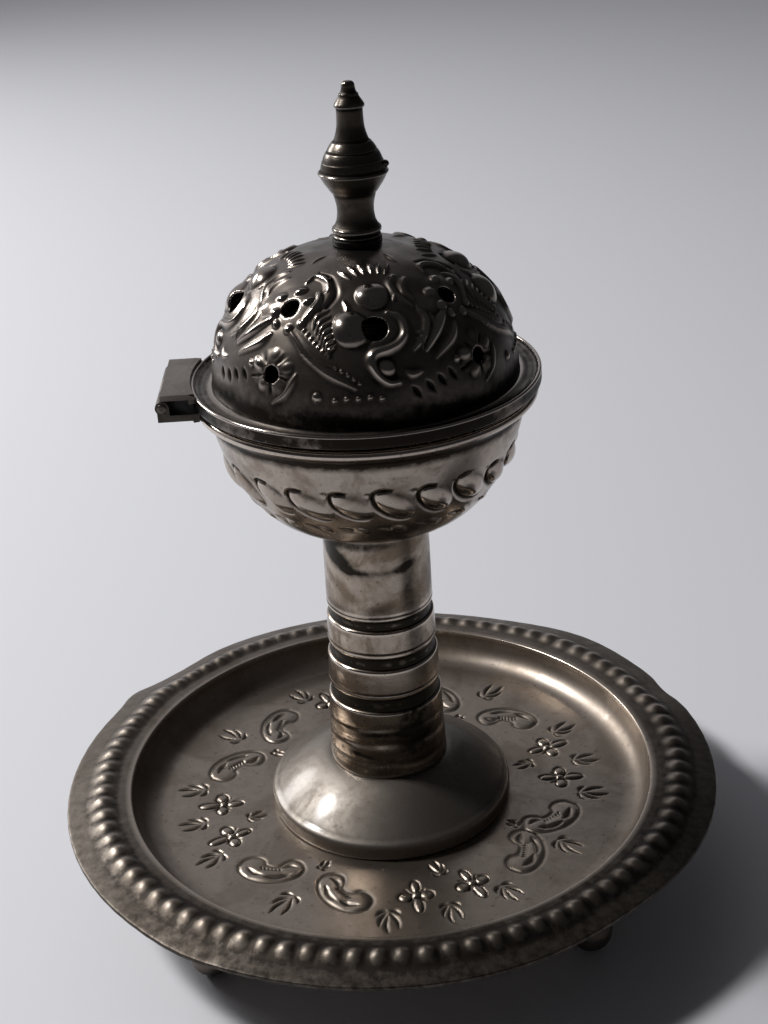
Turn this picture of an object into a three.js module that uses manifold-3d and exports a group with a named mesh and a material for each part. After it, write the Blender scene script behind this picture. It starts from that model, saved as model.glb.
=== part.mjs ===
// Table incense burner: a hinged, pierced dome lid on a bowl, a ringed stem on a flared foot,
// and a round beaded tray on four small feet. Millimetres, +Z up, origin on the table under the axis.
// The lid opens about a pin that lies along Y on the -X side.
import * as THREE from 'three';
import * as BufferGeometryUtils from 'three/addons/utils/BufferGeometryUtils.js';
import Module from 'manifold-3d';

const wasm = await Module();
wasm.setup();

// Clearances
const seatGap = 0.1;          // between flat faces that bear on each other
const solderGap = 0.3;        // between pieces soldered along a curved seam
const boltClearance = 0.4;    // radial, round a bolt's shank
const sheet = 0.9;            // spun sheet metal of bowl, dome and rim
const traySheet = 1.0;

// Tray
const trayFootHeight = 16.4;  // table to the underside of the tray's floor
const trayFloorRadius = 59.7;
const wellWidth = 7.8;        // the curved wall between floor and crest, seen from above
const wellDepth = 8.2;
const rimWidth = 15.6;        // crest to outer edge
const rimDrop = 2.0;          // the rim slopes down outward by this much
const rimOval = 1.35;         // the rim is this much wider along X, and narrower along Y
const beadCount = 88;
const beadOffset = 6.4;       // crest to the middle of the beads
const beadLength = 8.6;       // along the radius
const beadHeight = 1.8;
// Bends of an old rim: [direction in degrees, outward by mm, half width in degrees]
const rimBends = [[46, 2.2, 13], [20, -1.2, 4], [136, -1.4, 7], [149, 1.6, 4], [-50, -1.6, 18]];

// Tray feet
const trayFeet = 4;
const trayFootCircle = 65;
const trayFootBall = 5.2;
const trayFootTip = 2.0;      // flat where it touches the table
const trayFootNeck = 3.2;
const trayFootTop = 4.6;

// Pedestal foot
const pedestalRadius = 31.2;
const pedestalEdge = 4.4;
const pedestalRise = 13.1;    // tray floor to the step that the stem stands on
const pedestalCurve = 1.35;   // above 1 the top swells, at 1 it is a plain cone
const pedestalWall = 1.6;
const pedestalStep = 0.4;     // the pedestal's top is this much wider than the stem
const edgeRounding = 0.8;
const spigotHeight = 5;
const spigotClearance = 0.5;

// Stem
const stemBottomRadius = 15.2;
const stemTopRadius = 13.05;
const stemLength = 67.5;
const stemStraight = 22;      // the part below the bowl that hardly tapers
const stemWall = 1.5;
const stemFacets = 28;        // shared by stem and pedestal, so that their facets run parallel
const stemLipBore = 7;
const grooveDepth = 0.7;
// Turned grooves, from the bottom of the stem up: [lower edge, height]
const stemGrooves = [[18.6, 4.2], [30.4, 3.8], [41.2, 3.2]];

// Bowl
const bowlRadius = 37.3;
const bowlDepth = 31.86;
const bowlFlat = 9;
const bowlNeck = 2.56;        // height of the flared neck under the rim bead
const bowlBead = 1.1;
const bowlBeadLift = 0.33;    // the bead's centre above the bowl's mouth
const bowlFloor = 1.26;       // the spun floor is thicker than the wall
const bowlRimWidth = 2.7;     // the rim bead stands out from the bowl's mouth by this much
const bowlFullness = 1.339;   // exponents of the bowl's curve
const bowlRoundness = 3.978;
const gadroonCount = 22;
const gadroonHeight = 1.0;
const gadroonDrop = 14.5;     // from the bowl's mouth to the middle of the gadroons
const gadroonRows = 3.4;      // half the height of a gadroon

// Seat ring that the lid rests on
const seatRingWall = 0.9;
const seatRingHeight = 5.4;
const seatRingInset = 2.66;   // how far the ring starts below the bowl's mouth

// Lid rim
const lidOverhang = 0.7;      // the lid's lip stands out over the bowl's bead
const lidFlange = 5.1;        // the dome's edge to the outside of the lip
const lidLipHeight = 3.0;
const lidLipCrown = 1.3;      // the lip's top above the dome's base
const lidLipRounding = 0.7;
const lidSlopeRun = 0.8;      // the trough rises to the lip over this width
const lidLift = 4.34;         // the dome's base above the bowl's mouth
const lidLedge = 1.3;         // ledge under the dome's edge, as wide inside it as outside

// Dome
const domeHeight = 31.1;
const domeFullness = 2.058;
const domeRoundness = 2.373;
const spokes = 8;
const firstSpoke = -85;       // direction of the spoke that faces the front
const spokeCrowding = 5;      // the hand-punched front holes stand this many degrees closer
const bigHole = { radius: 2.9, height: 20.4 };     // height above the dome's base
const upperHole = { radius: 2.2, height: 23.3 };
const lowerHole = { radius: 2.0, height: 11.2 };

// Hinge
const hingeLength = 24;
const hingeReach = 5.7;       // lid rim to the pin's axis
const hingeRise = 3.24;       // bowl's mouth to the pin's axis
const knuckleRadius = 1.6;
const pinRadius = 0.8;
const pinClearance = 0.1;
const pinHeadRadius = 1.15;
const pinHeadHeight = 0.4;
const middleKnuckle = 8;
const knuckleGap = 0.2;
const leafClearance = 0.15;   // leaf plate to the other leaf's knuckles
const lidLeafThickness = 1.3;
const bowlLeafThickness = 1.6;
const lidLeafOverhang = 0.2;  // plate beyond the pin's axis
const bowlLeafOverhang = 1.2;
const leafPad = 1.4;          // the band of a leaf that is soldered to its rim
const leafPadHeight = 2.4;

// Finial: radii, and the heights above its base where they lie
const finialHeight = 35.4;
const finialBase = 5.6;
const finialBaseHeight = 3.9;
const finialNeck = 4.35;
const finialNeckAt = 7.4;
const finialBulb = 7.8;
const finialBulbAt = 15.3;
const finialUpperNeck = 2.75;
const finialUpperNeckAt = 26.3;
const finialCollar = 3.3;
const finialCollarAt = 30.2;
const finialTip = 1.45;
const finialBore = 12;

// Fasteners
const boltRadius = 2.5;
const boltHeadRadius = 5;
const boltHeadHeight = 2.8;
const washerThickness = 1.1;
const bowlWasherRadius = 8;
const trayWasherRadius = 9;
const nutAcrossFlats = 10;
const nutHeight = 4.8;
const boltProtrusion = 1.8;
const screwRadius = 1.9;
const screwHeadRadius = 3.4;
const screwHeadHeight = 2.2;
const screwWasherRadius = 4.8;
const slotWidth = 1.0;
const slotDepth = 1.0;
const screwEngagement = 9;

// Levels worked out from the sizes above
const trayFloor = trayFootHeight + traySheet;
const crestRadius = trayFloorRadius + wellWidth;
const crest = trayFloor + wellDepth;
const stemBottom = trayFloor + pedestalRise;
const stemTop = stemBottom + stemLength;
const bowlBottom = stemTop + seatGap;
const bowlMouth = bowlBottom + bowlDepth;
const bowlInside = bowlBottom + bowlFloor;
const bowlRimRadius = bowlRadius + bowlRimWidth;
const lidRimRadius = bowlRimRadius + lidOverhang;
const domeRadius = lidRimRadius - lidFlange;
const domeBase = bowlMouth + lidLift;
const domeTop = domeBase + domeHeight;
const finialBottom = domeTop + seatGap;
const pinX = -(lidRimRadius + hingeReach);
const pinZ = bowlMouth + hingeRise;
const boltBore = boltRadius + boltClearance;
const screwBore = screwRadius + boltClearance;

// Finishes
const finish = (color, roughness, metalness = 0.95) => new THREE.MeshStandardMaterial({ color, roughness, metalness });
const satinPlate = finish('#8f877e', 0.42);
const brightPlate = finish('#a59a8c', 0.28);
const darkPlate = finish('#5f5954', 0.36);
const dullCast = finish('#57514b', 0.5);
const hiddenSteel = finish('#7d7f82', 0.45);

const censer = new THREE.Group();
const stand = new THREE.Group();
const lid = new THREE.Group();
censer.add(stand, lid);

function addPiece(group, name, geometry, material) {
  const mesh = new THREE.Mesh(geometry, material);
  mesh.name = name;
  group.add(mesh);
  return mesh;
}

const rad = THREE.MathUtils.degToRad;
const point = (r, z) => new THREE.Vector2(r, z);

// Solids and booleans
function volume(geometry) {
  const p = geometry.attributes.position;
  const index = geometry.index;
  const [a, b, c] = [new THREE.Vector3(), new THREE.Vector3(), new THREE.Vector3()];
  let sum = 0;
  for (let i = 0; i < index.count; i += 3) {
    a.fromBufferAttribute(p, index.getX(i));
    b.fromBufferAttribute(p, index.getX(i + 1));
    c.fromBufferAttribute(p, index.getX(i + 2));
    sum += a.dot(b.cross(c)) / 6;
  }
  return sum;
}

// Merges the shared vertices of a closed mesh and turns its faces outward
function closed(geometry) {
  geometry.deleteAttribute('normal');
  geometry.deleteAttribute('uv');
  const merged = BufferGeometryUtils.mergeVertices(geometry, 1e-4);
  if (volume(merged) < 0) {
    const index = merged.index.array;
    for (let i = 0; i < index.length; i += 3) [index[i], index[i + 1]] = [index[i + 1], index[i]];
  }
  merged.computeVertexNormals();
  return merged;
}

function toSolid(geometry) {
  const mesh = closed(geometry);
  return new wasm.Manifold(new wasm.Mesh({
    numProp: 3,
    vertProperties: new Float32Array(mesh.attributes.position.array),
    triVerts: new Uint32Array(mesh.index.array),
  }));
}

function toGeometry(solid) {
  const mesh = solid.getMesh();
  const geometry = new THREE.BufferGeometry();
  geometry.setAttribute('position', new THREE.BufferAttribute(new Float32Array(mesh.vertProperties), 3));
  geometry.setIndex(new THREE.BufferAttribute(new Uint32Array(mesh.triVerts), 1));
  geometry.computeVertexNormals();
  return geometry;
}

// Turned pieces: a profile of (radius, height) points, turned about Z
function lathe(points, segments) {
  return closed(new THREE.LatheGeometry(points, segments).rotateX(Math.PI / 2));
}

function washer(bore, radius, bottom, thickness, segments = 16) {
  const top = bottom + thickness;
  return lathe([point(bore, bottom), point(radius, bottom), point(radius, top), point(bore, top), point(bore, bottom)],
    segments);
}

// A closed loop of rings about Z, each with its own number of corners, so that only the decorated rings
// are fine. place(r, z, angle) puts a corner where it belongs.
function ringLoop(rings, place) {
  const positions = [];
  const starts = [];
  for (const { r, z, n } of rings) {
    starts.push(positions.length / 3);
    for (let i = 0; i < n; i++) positions.push(...place(r, z, (2 * Math.PI * i) / n).toArray());
  }
  const faces = [];
  rings.forEach((ring, k) => {
    const next = (k + 1) % rings.length;
    const coarseIsFirst = ring.n <= rings[next].n;
    const [coarse, fine] = coarseIsFirst ? [k, next] : [next, k];
    const ratio = rings[fine].n / rings[coarse].n;
    const put = (a, b, c) => (coarseIsFirst ? faces.push(a, c, b) : faces.push(a, b, c));
    for (let i = 0; i < rings[coarse].n; i++) {
      const corner = (j) => starts[coarse] + (j % rings[coarse].n);
      const fineCorner = (j) => starts[fine] + ((i * ratio + j) % rings[fine].n);
      const turn = Math.ceil(ratio / 2);
      for (let j = 0; j < turn; j++) put(corner(i), fineCorner(j), fineCorner(j + 1));
      put(corner(i), fineCorner(turn), corner(i + 1));
      for (let j = turn; j < ratio; j++) put(corner(i + 1), fineCorner(j), fineCorner(j + 1));
    }
  });
  const geometry = new THREE.BufferGeometry();
  geometry.setAttribute('position', new THREE.Float32BufferAttribute(positions, 3));
  geometry.setIndex(faces);
  return closed(geometry);
}

const onCircle = (r, z, angle) => new THREE.Vector3(r * Math.cos(angle), r * Math.sin(angle), z);

// Tray
const edgeRadius = crestRadius + rimWidth;
const beadCircle = crestRadius + beadOffset;
const beadStart = beadCircle - beadLength / 2;
const beadEnd = beadCircle + beadLength / 2;
const floorCorners = beadCount / 2;
const rimCorners = beadCount;
const beadCorners = beadCount * 2;
const rimTop = (r) => crest - rimDrop * ((r - crestRadius) / rimWidth) ** 2;

function bend(angle) {
  const degrees = THREE.MathUtils.euclideanModulo(THREE.MathUtils.radToDeg(angle) + 180, 360) - 180;
  const bends = rimBends.map(([at, out, half]) => out * Math.exp(-(((degrees - at) / half) ** 2)));
  return rimOval * Math.cos(2 * angle) + bends.reduce((sum, value) => sum + value, 0);
}

function onTray(r, z, angle) {
  const share = Math.max(0, (r - crestRadius) / rimWidth);
  const bead = Math.abs(r - beadCircle) < 0.01 ? beadHeight * (0.5 + 0.5 * Math.cos(beadCount * angle)) : 0;
  return onCircle(r + share * bend(angle), z + bead, angle);
}

// The well's wall is a quarter of an ellipse; the underside is the same curve, one sheet thickness out
function wellPoint(degrees, thickness) {
  const a = rad(degrees);
  const r = trayFloorRadius + (wellWidth + thickness) * Math.sin(a);
  return { r, z: crest - (wellDepth + thickness) * Math.cos(a) };
}

const underCrest = THREE.MathUtils.radToDeg(Math.acos((1.2 * traySheet) / (wellDepth + traySheet)));
const wellSteps = [0, 32, 62];

function tray() {
  const ring = (n) => (r, z) => ({ r, z, n });
  const floor = ring(floorCorners);
  const rim = ring(rimCorners);
  const beads = ring(beadCorners);
  const wall = (thickness) => wellSteps.map((a) => wellPoint(a, thickness)).map(({ r, z }) => floor(r, z));
  const underEnd = wellPoint(underCrest, traySheet);
  const rimRings = (thickness) => [
    rim(beadStart, rimTop(beadStart) - thickness),
    beads(beadCircle, rimTop(beadCircle) - thickness),
    rim(beadEnd, rimTop(beadEnd) - thickness),
    rim(edgeRadius, rimTop(edgeRadius) - thickness),
  ];
  return ringLoop([
    floor(boltBore, trayFloor),
    ...wall(0),
    rim(crestRadius, crest),
    ...rimRings(0),
    ...rimRings(traySheet).reverse(),
    rim(underEnd.r, underEnd.z),
    ...wall(traySheet).reverse(),
    floor(boltBore, trayFloor - traySheet),
  ], onTray);
}

addPiece(stand, 'tray', tray(), satinPlate);

// Tray feet: turned balls on necks, cut to the curve of the tray's underside
function overTray() {
  const under = [...wellSteps, underCrest].map((a) => wellPoint(a, traySheet + solderGap));
  const outside = crestRadius + rimWidth;
  const above = crest + wellDepth;
  return toSolid(new THREE.LatheGeometry([
    point(0, under[0].z), ...under.map(({ r, z }) => point(r, z)),
    point(outside, under.at(-1).z), point(outside, above), point(0, above),
  ], floorCorners).rotateX(Math.PI / 2).rotateZ(Math.PI / 2));
}

function trayFoot(cutter) {
  const profile = [point(0, 0), point(trayFootTip, 0)];
  const ballCentre = trayFootBall * 0.95;
  for (const degrees of [-35, 5, 45]) {
    const a = rad(degrees);
    profile.push(point(trayFootBall * Math.cos(a), ballCentre + trayFootBall * Math.sin(a)));
  }
  profile.push(point(trayFootNeck, ballCentre + trayFootBall * 1.1));
  profile.push(point(trayFootTop, trayFloor - traySheet));
  profile.push(point(trayFootTop, crest), point(0, crest));
  const body = new THREE.LatheGeometry(profile, 10).rotateX(Math.PI / 2);
  return (angle) => {
    const placed = body.clone().translate(trayFootCircle * Math.cos(angle), trayFootCircle * Math.sin(angle), 0);
    return toGeometry(toSolid(placed).subtract(cutter));
  };
}

const makeTrayFoot = trayFoot(overTray());
for (let i = 0; i < trayFeet; i++) {
  const angle = rad(45) + (i * 2 * Math.PI) / trayFeet;
  addPiece(stand, `tray_foot_${i + 1}`, makeTrayFoot(angle), dullCast);
}

// Pedestal foot: a spun, hollow, gently domed disc with an upright edge and a spigot inside the stem
const spigotRadius = stemBottomRadius - stemWall - spigotClearance;

function pedestal() {
  const bottom = trayFloor + seatGap;
  const shoulder = trayFloor + pedestalEdge;
  const step = stemBottom - seatGap;
  const run = pedestalRadius - edgeRounding - stemBottomRadius - pedestalStep;
  const rise = step - shoulder;
  const top = (share) => point(pedestalRadius - edgeRounding - run * share,
    shoulder + rise * (1 - (1 - share) ** pedestalCurve));
  const outer = [
    point(pedestalRadius, bottom), point(pedestalRadius, shoulder - edgeRounding),
    ...[0, 0.25, 0.5, 0.75, 1].map(top),
  ];
  const spigot = [
    point(spigotRadius, step), point(spigotRadius, step + spigotHeight),
    point(boltBore, step + spigotHeight), point(boltBore, step - pedestalWall),
  ];
  const inner = [
    point(stemBottomRadius, step - pedestalWall),
    point(pedestalRadius - edgeRounding - pedestalWall, shoulder - pedestalWall),
    point(pedestalRadius - pedestalWall, bottom),
  ];
  return lathe([...outer, ...spigot, ...inner, outer[0]], stemFacets);
}

addPiece(stand, 'pedestal_foot', pedestal(), satinPlate);

// Stem: a tapering tube with three turned grooves, closed to a lip under the bowl
function stemRadiusAt(height) {
  const straightFrom = stemLength - stemStraight;
  const top = stemTopRadius + 0.25;
  if (height > straightFrom) {
    return THREE.MathUtils.mapLinear(height, straightFrom, stemLength, top, stemTopRadius);
  }
  return THREE.MathUtils.mapLinear(height, 0, straightFrom, stemBottomRadius, top);
}

function stem() {
  const at = (height, depth = 0) => point(stemRadiusAt(height) - depth, stemBottom + height);
  const bevel = grooveDepth * 0.6;
  const outer = [at(0)];
  for (const [from, tall] of stemGrooves) {
    outer.push(at(from), at(from + bevel, grooveDepth), at(from + tall - bevel, grooveDepth), at(from + tall));
  }
  outer.push(at(stemLength - stemStraight), at(stemLength - 1), at(stemLength, 1));
  const inner = [
    point(stemLipBore, stemTop), point(stemLipBore, stemTop - stemWall),
    at(stemLength - stemWall, stemWall), at(stemLength - stemStraight, stemWall), at(0, stemWall),
  ];
  return lathe([...outer, ...inner, outer[0]], stemFacets);
}

addPiece(stand, 'stem', stem(), brightPlate);

// Bowl
function bowlRadiusAt(depth) {
  const share = THREE.MathUtils.clamp(depth / bowlDepth, 0, 1);
  return bowlRadius * (1 - share ** bowlFullness) ** (1 / bowlRoundness);
}

const coarseBowl = gadroonCount * 2;
const fineBowl = gadroonCount * 4;

function onBowl(r, z, angle) {
  const depth = bowlMouth - z;
  const row = (depth - gadroonDrop) / gadroonRows;
  const isGadroon = Math.abs(row) < 1.01 && r > bowlRadiusAt(depth) - sheet / 2;
  if (!isGadroon) return onCircle(r, z, angle);
  const slant = row * 0.25 * Math.PI;
  const wave = Math.max(0, Math.cos(gadroonCount * angle + slant));
  return onCircle(r + gadroonHeight * wave * (1 - 0.7 * row * row), z, angle);
}

function bowl() {
  const ring = (r, z, n = coarseBowl) => ({ r, z, n });
  const wall = (depth, inset, n) => ring(bowlRadiusAt(depth) - inset, bowlMouth - depth, n);
  const rows = [1, 0, -1].map((row) => gadroonDrop + row * gadroonRows);
  const below = [0.98, 0.925, 0.81, 0.69].map((share) => share * bowlDepth);
  const above = [bowlNeck + (gadroonDrop - gadroonRows - bowlNeck) / 2, bowlNeck];
  const beadCentre = bowlRimRadius - bowlBead;
  const bead = (degrees) => ring(beadCentre + bowlBead * Math.cos(rad(degrees)),
    bowlMouth + bowlBeadLift + bowlBead * Math.sin(rad(degrees)));
  return ringLoop([
    ring(boltBore, bowlBottom),
    ring(bowlFlat, bowlBottom),
    ...below.map((depth) => wall(depth, 0)),
    ...rows.map((depth) => wall(depth, 0, fineBowl)),
    ...above.map((depth) => wall(depth, 0)),
    ...[-70, -20, 30, 90, 150].map(bead),
    wall(bowlNeck / 2, sheet),
    ...[...above].reverse().map((depth) => wall(depth, sheet)),
    wall(gadroonDrop, sheet),
    wall(below.at(-1), sheet),
    wall(below.at(-2), sheet),
    ring(bowlFlat, bowlInside),
    ring(boltBore, bowlInside),
  ], onBowl);
}

addPiece(stand, 'bowl', bowl(), brightPlate);

// Seat ring: stands inside the bowl's mouth and carries the lid
const ledgeBottom = domeBase - lidLedge;

function seatRing() {
  const bottom = bowlMouth - seatRingInset;
  const outside = bowlRadiusAt(seatRingInset) - sheet - solderGap;
  const top = Math.min(bottom + seatRingHeight, ledgeBottom - seatGap);
  return washer(outside - seatRingWall, outside, bottom, top - bottom, 32);
}

addPiece(stand, 'lid_seat_ring', seatRing(), brightPlate);

// Tie bolt: holds bowl, stem, pedestal and tray together
const bowlWasherBottom = bowlInside + seatGap;
const boltHeadBottom = bowlWasherBottom + washerThickness + seatGap;
const trayWasherTop = trayFloor - traySheet - seatGap;
const nutTop = trayWasherTop - washerThickness - seatGap;

function tieBolt() {
  const end = nutTop - nutHeight - boltProtrusion;
  const headTop = boltHeadBottom + boltHeadHeight;
  const profile = [
    point(0, end), point(boltRadius - 0.5, end), point(boltRadius, end + 0.5), point(boltRadius, boltHeadBottom),
    point(boltHeadRadius, boltHeadBottom), point(boltHeadRadius, boltHeadBottom + boltHeadHeight * 0.4),
    point(boltHeadRadius * 0.7, headTop - 0.4), point(0, headTop),
  ];
  return toGeometry(toSolid(lathe(profile, 16)).subtract(driverSlot(boltHeadRadius, headTop, 1)));
}

function driverSlot(headRadius, faceLevel, side) {
  const box = new THREE.BoxGeometry(slotWidth, headRadius * 3, 2 * slotDepth);
  return toSolid(box.translate(0, 0, faceLevel - side * 0.2 * slotDepth));
}

function nut() {
  const outline = new THREE.Shape();
  for (let i = 0; i < 6; i++) {
    const a = rad(60 * i + 30);
    const corner = nutAcrossFlats / 2 / Math.cos(rad(30));
    if (i === 0) outline.moveTo(corner * Math.cos(a), corner * Math.sin(a));
    else outline.lineTo(corner * Math.cos(a), corner * Math.sin(a));
  }
  outline.closePath();
  outline.holes.push(new THREE.Path().absarc(0, 0, boltBore, 0, 2 * Math.PI, true));
  const body = new THREE.ExtrudeGeometry(outline, { depth: nutHeight, bevelEnabled: false, curveSegments: 10 });
  return closed(body.translate(0, 0, nutTop - nutHeight));
}

addPiece(stand, 'tie_bolt', tieBolt(), hiddenSteel);
addPiece(stand, 'bowl_washer', washer(boltBore, bowlWasherRadius, bowlWasherBottom, washerThickness), hiddenSteel);
addPiece(stand, 'tray_washer',
  washer(boltBore, trayWasherRadius, trayWasherTop - washerThickness, washerThickness), hiddenSteel);
addPiece(stand, 'tray_nut', nut(), hiddenSteel);

// Hinge leaves: a flat plate soldered to its rim by a band, with knuckles round the pin
const lidLeafSeat = lidRimRadius + solderGap;
const bowlLeafSeat = bowlRimRadius + solderGap;

// Seen from above: a straight outer edge, square ends, and an inner edge that follows the rim
function leafPlan(seat, outerX) {
  const half = hingeLength / 2;
  const reach = Math.asin(half / seat);
  const plan = new THREE.Shape();
  plan.moveTo(outerX, half);
  plan.lineTo(outerX, -half);
  plan.absarc(0, 0, seat, Math.PI + reach, Math.PI - reach, true);
  plan.closePath();
  return plan;
}

function bandPlan(seat) {
  const reach = Math.asin(hingeLength / 2 / (seat + leafPad));
  const plan = new THREE.Shape();
  plan.absarc(0, 0, seat + leafPad, Math.PI - reach, Math.PI + reach, false);
  plan.absarc(0, 0, seat, Math.PI + reach, Math.PI - reach, true);
  plan.closePath();
  return plan;
}

function upright(plan, bottom, thickness) {
  const body = new THREE.ExtrudeGeometry(plan, { depth: thickness, bevelEnabled: false, curveSegments: 7 });
  return toSolid(body.translate(0, 0, bottom));
}

// A knuckle seen along the pin: round about the pin, with a web from side to the plate
function knuckle(side, overhang, from, to) {
  const web = knuckleRadius + leafClearance + 0.4;
  const outer = Math.min(overhang, knuckleRadius);
  const start = Math.acos(-outer / knuckleRadius);
  const profile = new THREE.Shape();
  profile.moveTo(-outer, web);
  profile.lineTo(knuckleRadius, web);
  profile.lineTo(knuckleRadius, 0);
  profile.absarc(0, 0, knuckleRadius, 0, start - 2 * Math.PI, true);
  profile.closePath();
  profile.holes.push(new THREE.Path().absarc(0, 0, pinRadius + pinClearance, 0, 2 * Math.PI, false));
  const body = new THREE.ExtrudeGeometry(profile, { depth: to - from, bevelEnabled: false, curveSegments: 6 });
  body.rotateX(Math.PI / 2).translate(0, to, 0);
  if (side < 0) body.scale(1, 1, -1);
  return toSolid(body.translate(pinX, 0, pinZ));
}

const leafFace = knuckleRadius + leafClearance;

function lidLeaf() {
  const top = pinZ + leafFace + lidLeafThickness;
  const half = middleKnuckle / 2 - knuckleGap / 2;
  const solid = upright(leafPlan(lidLeafSeat, pinX - lidLeafOverhang), top - lidLeafThickness, lidLeafThickness)
    .add(upright(bandPlan(lidLeafSeat), top - leafPadHeight, leafPadHeight))
    .add(knuckle(1, lidLeafOverhang, -half, half));
  return toGeometry(solid);
}

function bowlLeaf() {
  const bottom = pinZ - leafFace - bowlLeafThickness;
  const inner = middleKnuckle / 2 + knuckleGap / 2;
  const half = hingeLength / 2;
  const solid = upright(leafPlan(bowlLeafSeat, pinX - bowlLeafOverhang), bottom, bowlLeafThickness)
    .add(upright(bandPlan(bowlLeafSeat), bottom - 0.5, bowlLeafThickness + 0.5))
    .add(knuckle(-1, bowlLeafOverhang, inner, half))
    .add(knuckle(-1, bowlLeafOverhang, -half, -inner));
  return toGeometry(solid);
}

function hingePin() {
  const half = hingeLength / 2 + seatGap;
  const end = half + pinHeadHeight;
  const profile = [
    point(0, -end), point(pinHeadRadius, -end), point(pinHeadRadius, -half), point(pinRadius, -half),
    point(pinRadius, half), point(pinHeadRadius, half), point(pinHeadRadius, end), point(0, end),
  ];
  return closed(lathe(profile, 12).rotateX(Math.PI / 2).translate(pinX, 0, pinZ));
}

addPiece(stand, 'bowl_hinge_leaf', bowlLeaf(), dullCast);
addPiece(stand, 'hinge_pin', hingePin(), hiddenSteel);
addPiece(lid, 'lid_hinge_leaf', lidLeaf(), dullCast);

// Lid rim: a ledge for the dome, a shallow trough, and a lip turned down outside the bowl's bead
function lidRim() {
  const ledge = domeBase - seatGap;
  const ledgeInside = domeRadius - lidLedge;
  const troughRadius = domeRadius + lidLedge;
  const crown = domeBase + lidLipCrown;
  const lipBottom = crown - lidLipHeight;
  const lipInside = lidRimRadius - sheet;
  const top = [
    point(ledgeInside, ledge), point(troughRadius, ledge),
    point(lidRimRadius - lidLipRounding - lidSlopeRun, crown - lidLipRounding),
    point(lidRimRadius - lidLipRounding, crown), point(lidRimRadius, crown - lidLipRounding),
    point(lidRimRadius, lipBottom),
  ];
  const under = [
    point(lipInside, lipBottom), point(lipInside, crown - lidLipRounding - sheet),
    point(lidRimRadius - lidLipRounding - sheet, crown - lidLipRounding - sheet),
    point(troughRadius, ledgeBottom), point(ledgeInside, ledgeBottom),
  ];
  return lathe([...top, ...under, top[0]], 40);
}

addPiece(lid, 'lid_rim', lidRim(), satinPlate);

// Dome: a thin shell, pierced along eight spokes
function domeRadiusAt(height) {
  const share = THREE.MathUtils.clamp(height / domeHeight, 0, 1);
  return domeRadius * (1 - share ** domeFullness) ** (1 / domeRoundness);
}

function domeHeightAt(r) {
  return domeHeight * (1 - (r / domeRadius) ** domeRoundness) ** (1 / domeFullness);
}

function domeShell() {
  const heights = [0, 0.16, 0.32, 0.48, 0.63, 0.77, 0.88, 0.96].map((share) => share * domeHeight);
  const outer = heights.map((height) => point(domeRadiusAt(height), domeBase + height));
  outer.push(point(finialBase + 0.4, domeBase + domeHeightAt(finialBase + 0.4)), point(screwBore, domeTop));
  const inner = [1, 3, 5, 7, 8].map((i) => {
    const { x, y } = outer[i];
    const along = point(outer[i + 1].x - outer[i - 1].x, outer[i + 1].y - outer[i - 1].y).normalize();
    return point(x - along.y * sheet, y + along.x * sheet);
  });
  inner.unshift(point(domeRadius - sheet, domeBase));
  inner.push(point(screwBore, domeTop - sheet));
  return toSolid(lathe([...outer, ...inner.reverse(), outer[0]], 40));
}

function holeCutter({ radius, height }, angle) {
  const r = domeRadiusAt(height);
  const step = 0.5;
  const slope = (domeRadiusAt(height - step) - domeRadiusAt(height + step)) / (2 * step);
  const outward = new THREE.Vector3(1, 0, slope).normalize();
  const turn = new THREE.Quaternion().setFromUnitVectors(new THREE.Vector3(0, 1, 0), outward);
  const cutter = new THREE.CylinderGeometry(radius, radius, 6 * sheet, 9);
  return toSolid(cutter.applyQuaternion(turn).translate(r, 0, domeBase + height).rotateZ(angle));
}

const spokeAngle = (i) => rad(firstSpoke + (360 / spokes) * i - spokeCrowding * Math.sin((2 * Math.PI * i) / spokes));

function dome() {
  let shell = domeShell();
  for (let i = 0; i < spokes; i++) {
    const holes = i % 2 === 0 ? [bigHole] : [upperHole, lowerHole];
    for (const hole of holes) shell = shell.subtract(holeCutter(hole, spokeAngle(i)));
  }
  return toGeometry(shell);
}

addPiece(lid, 'lid_dome', dome(), darkPlate);

// Finial: turned, with a blind bore for the screw that holds it from inside the dome
function finial() {
  const base = { r: finialBase, z: 0 };
  const shoulder = { r: finialBase, z: finialBaseHeight };
  const neck = { r: finialNeck, z: finialNeckAt };
  const bulb = { r: finialBulb, z: finialBulbAt };
  const upperNeck = { r: finialUpperNeck, z: finialUpperNeckAt };
  const collar = { r: finialCollar, z: finialCollarAt };
  const tip = { r: finialTip, z: finialHeight };
  // A point between two of these: the first share is of the change in radius, the second of the height
  const between = (low, high, acrossShare, upShare) => point(
    THREE.MathUtils.lerp(low.r, high.r, acrossShare),
    finialBottom + THREE.MathUtils.lerp(low.z, high.z, upShare),
  );
  const outline = [
    between(base, shoulder, 0, 0), between(base, shoulder, 0, 0.42),
    between(base, neck, 0.48, 0.28), between(base, shoulder, 0, 0.72),
    between(shoulder, neck, 0.4, 0), between(shoulder, neck, 1, 0.65), between(neck, bulb, 0.03, 0.15),
    between(neck, bulb, 0.38, 0.46), between(neck, bulb, 0.83, 0.8),
    between(bulb, upperNeck, 0, 0), between(bulb, upperNeck, 0.16, 0.18), between(bulb, upperNeck, 0.42, 0.42),
    between(bulb, upperNeck, 0.8, 0.66), between(bulb, upperNeck, 1, 0.88),
    between(upperNeck, collar, 0, 0.35), between(upperNeck, collar, 1, 0.9), between(collar, tip, 0.1, 0.06),
    between(collar, tip, 0.68, 0.54), between(collar, tip, 1, 0.88), point(0, finialBottom + finialHeight),
  ];
  const bore = finialBottom + finialBore;
  return lathe([point(0, bore), point(screwBore, bore), point(screwBore, finialBottom), ...outline], 18);
}

addPiece(lid, 'finial', finial(), dullCast);

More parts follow.
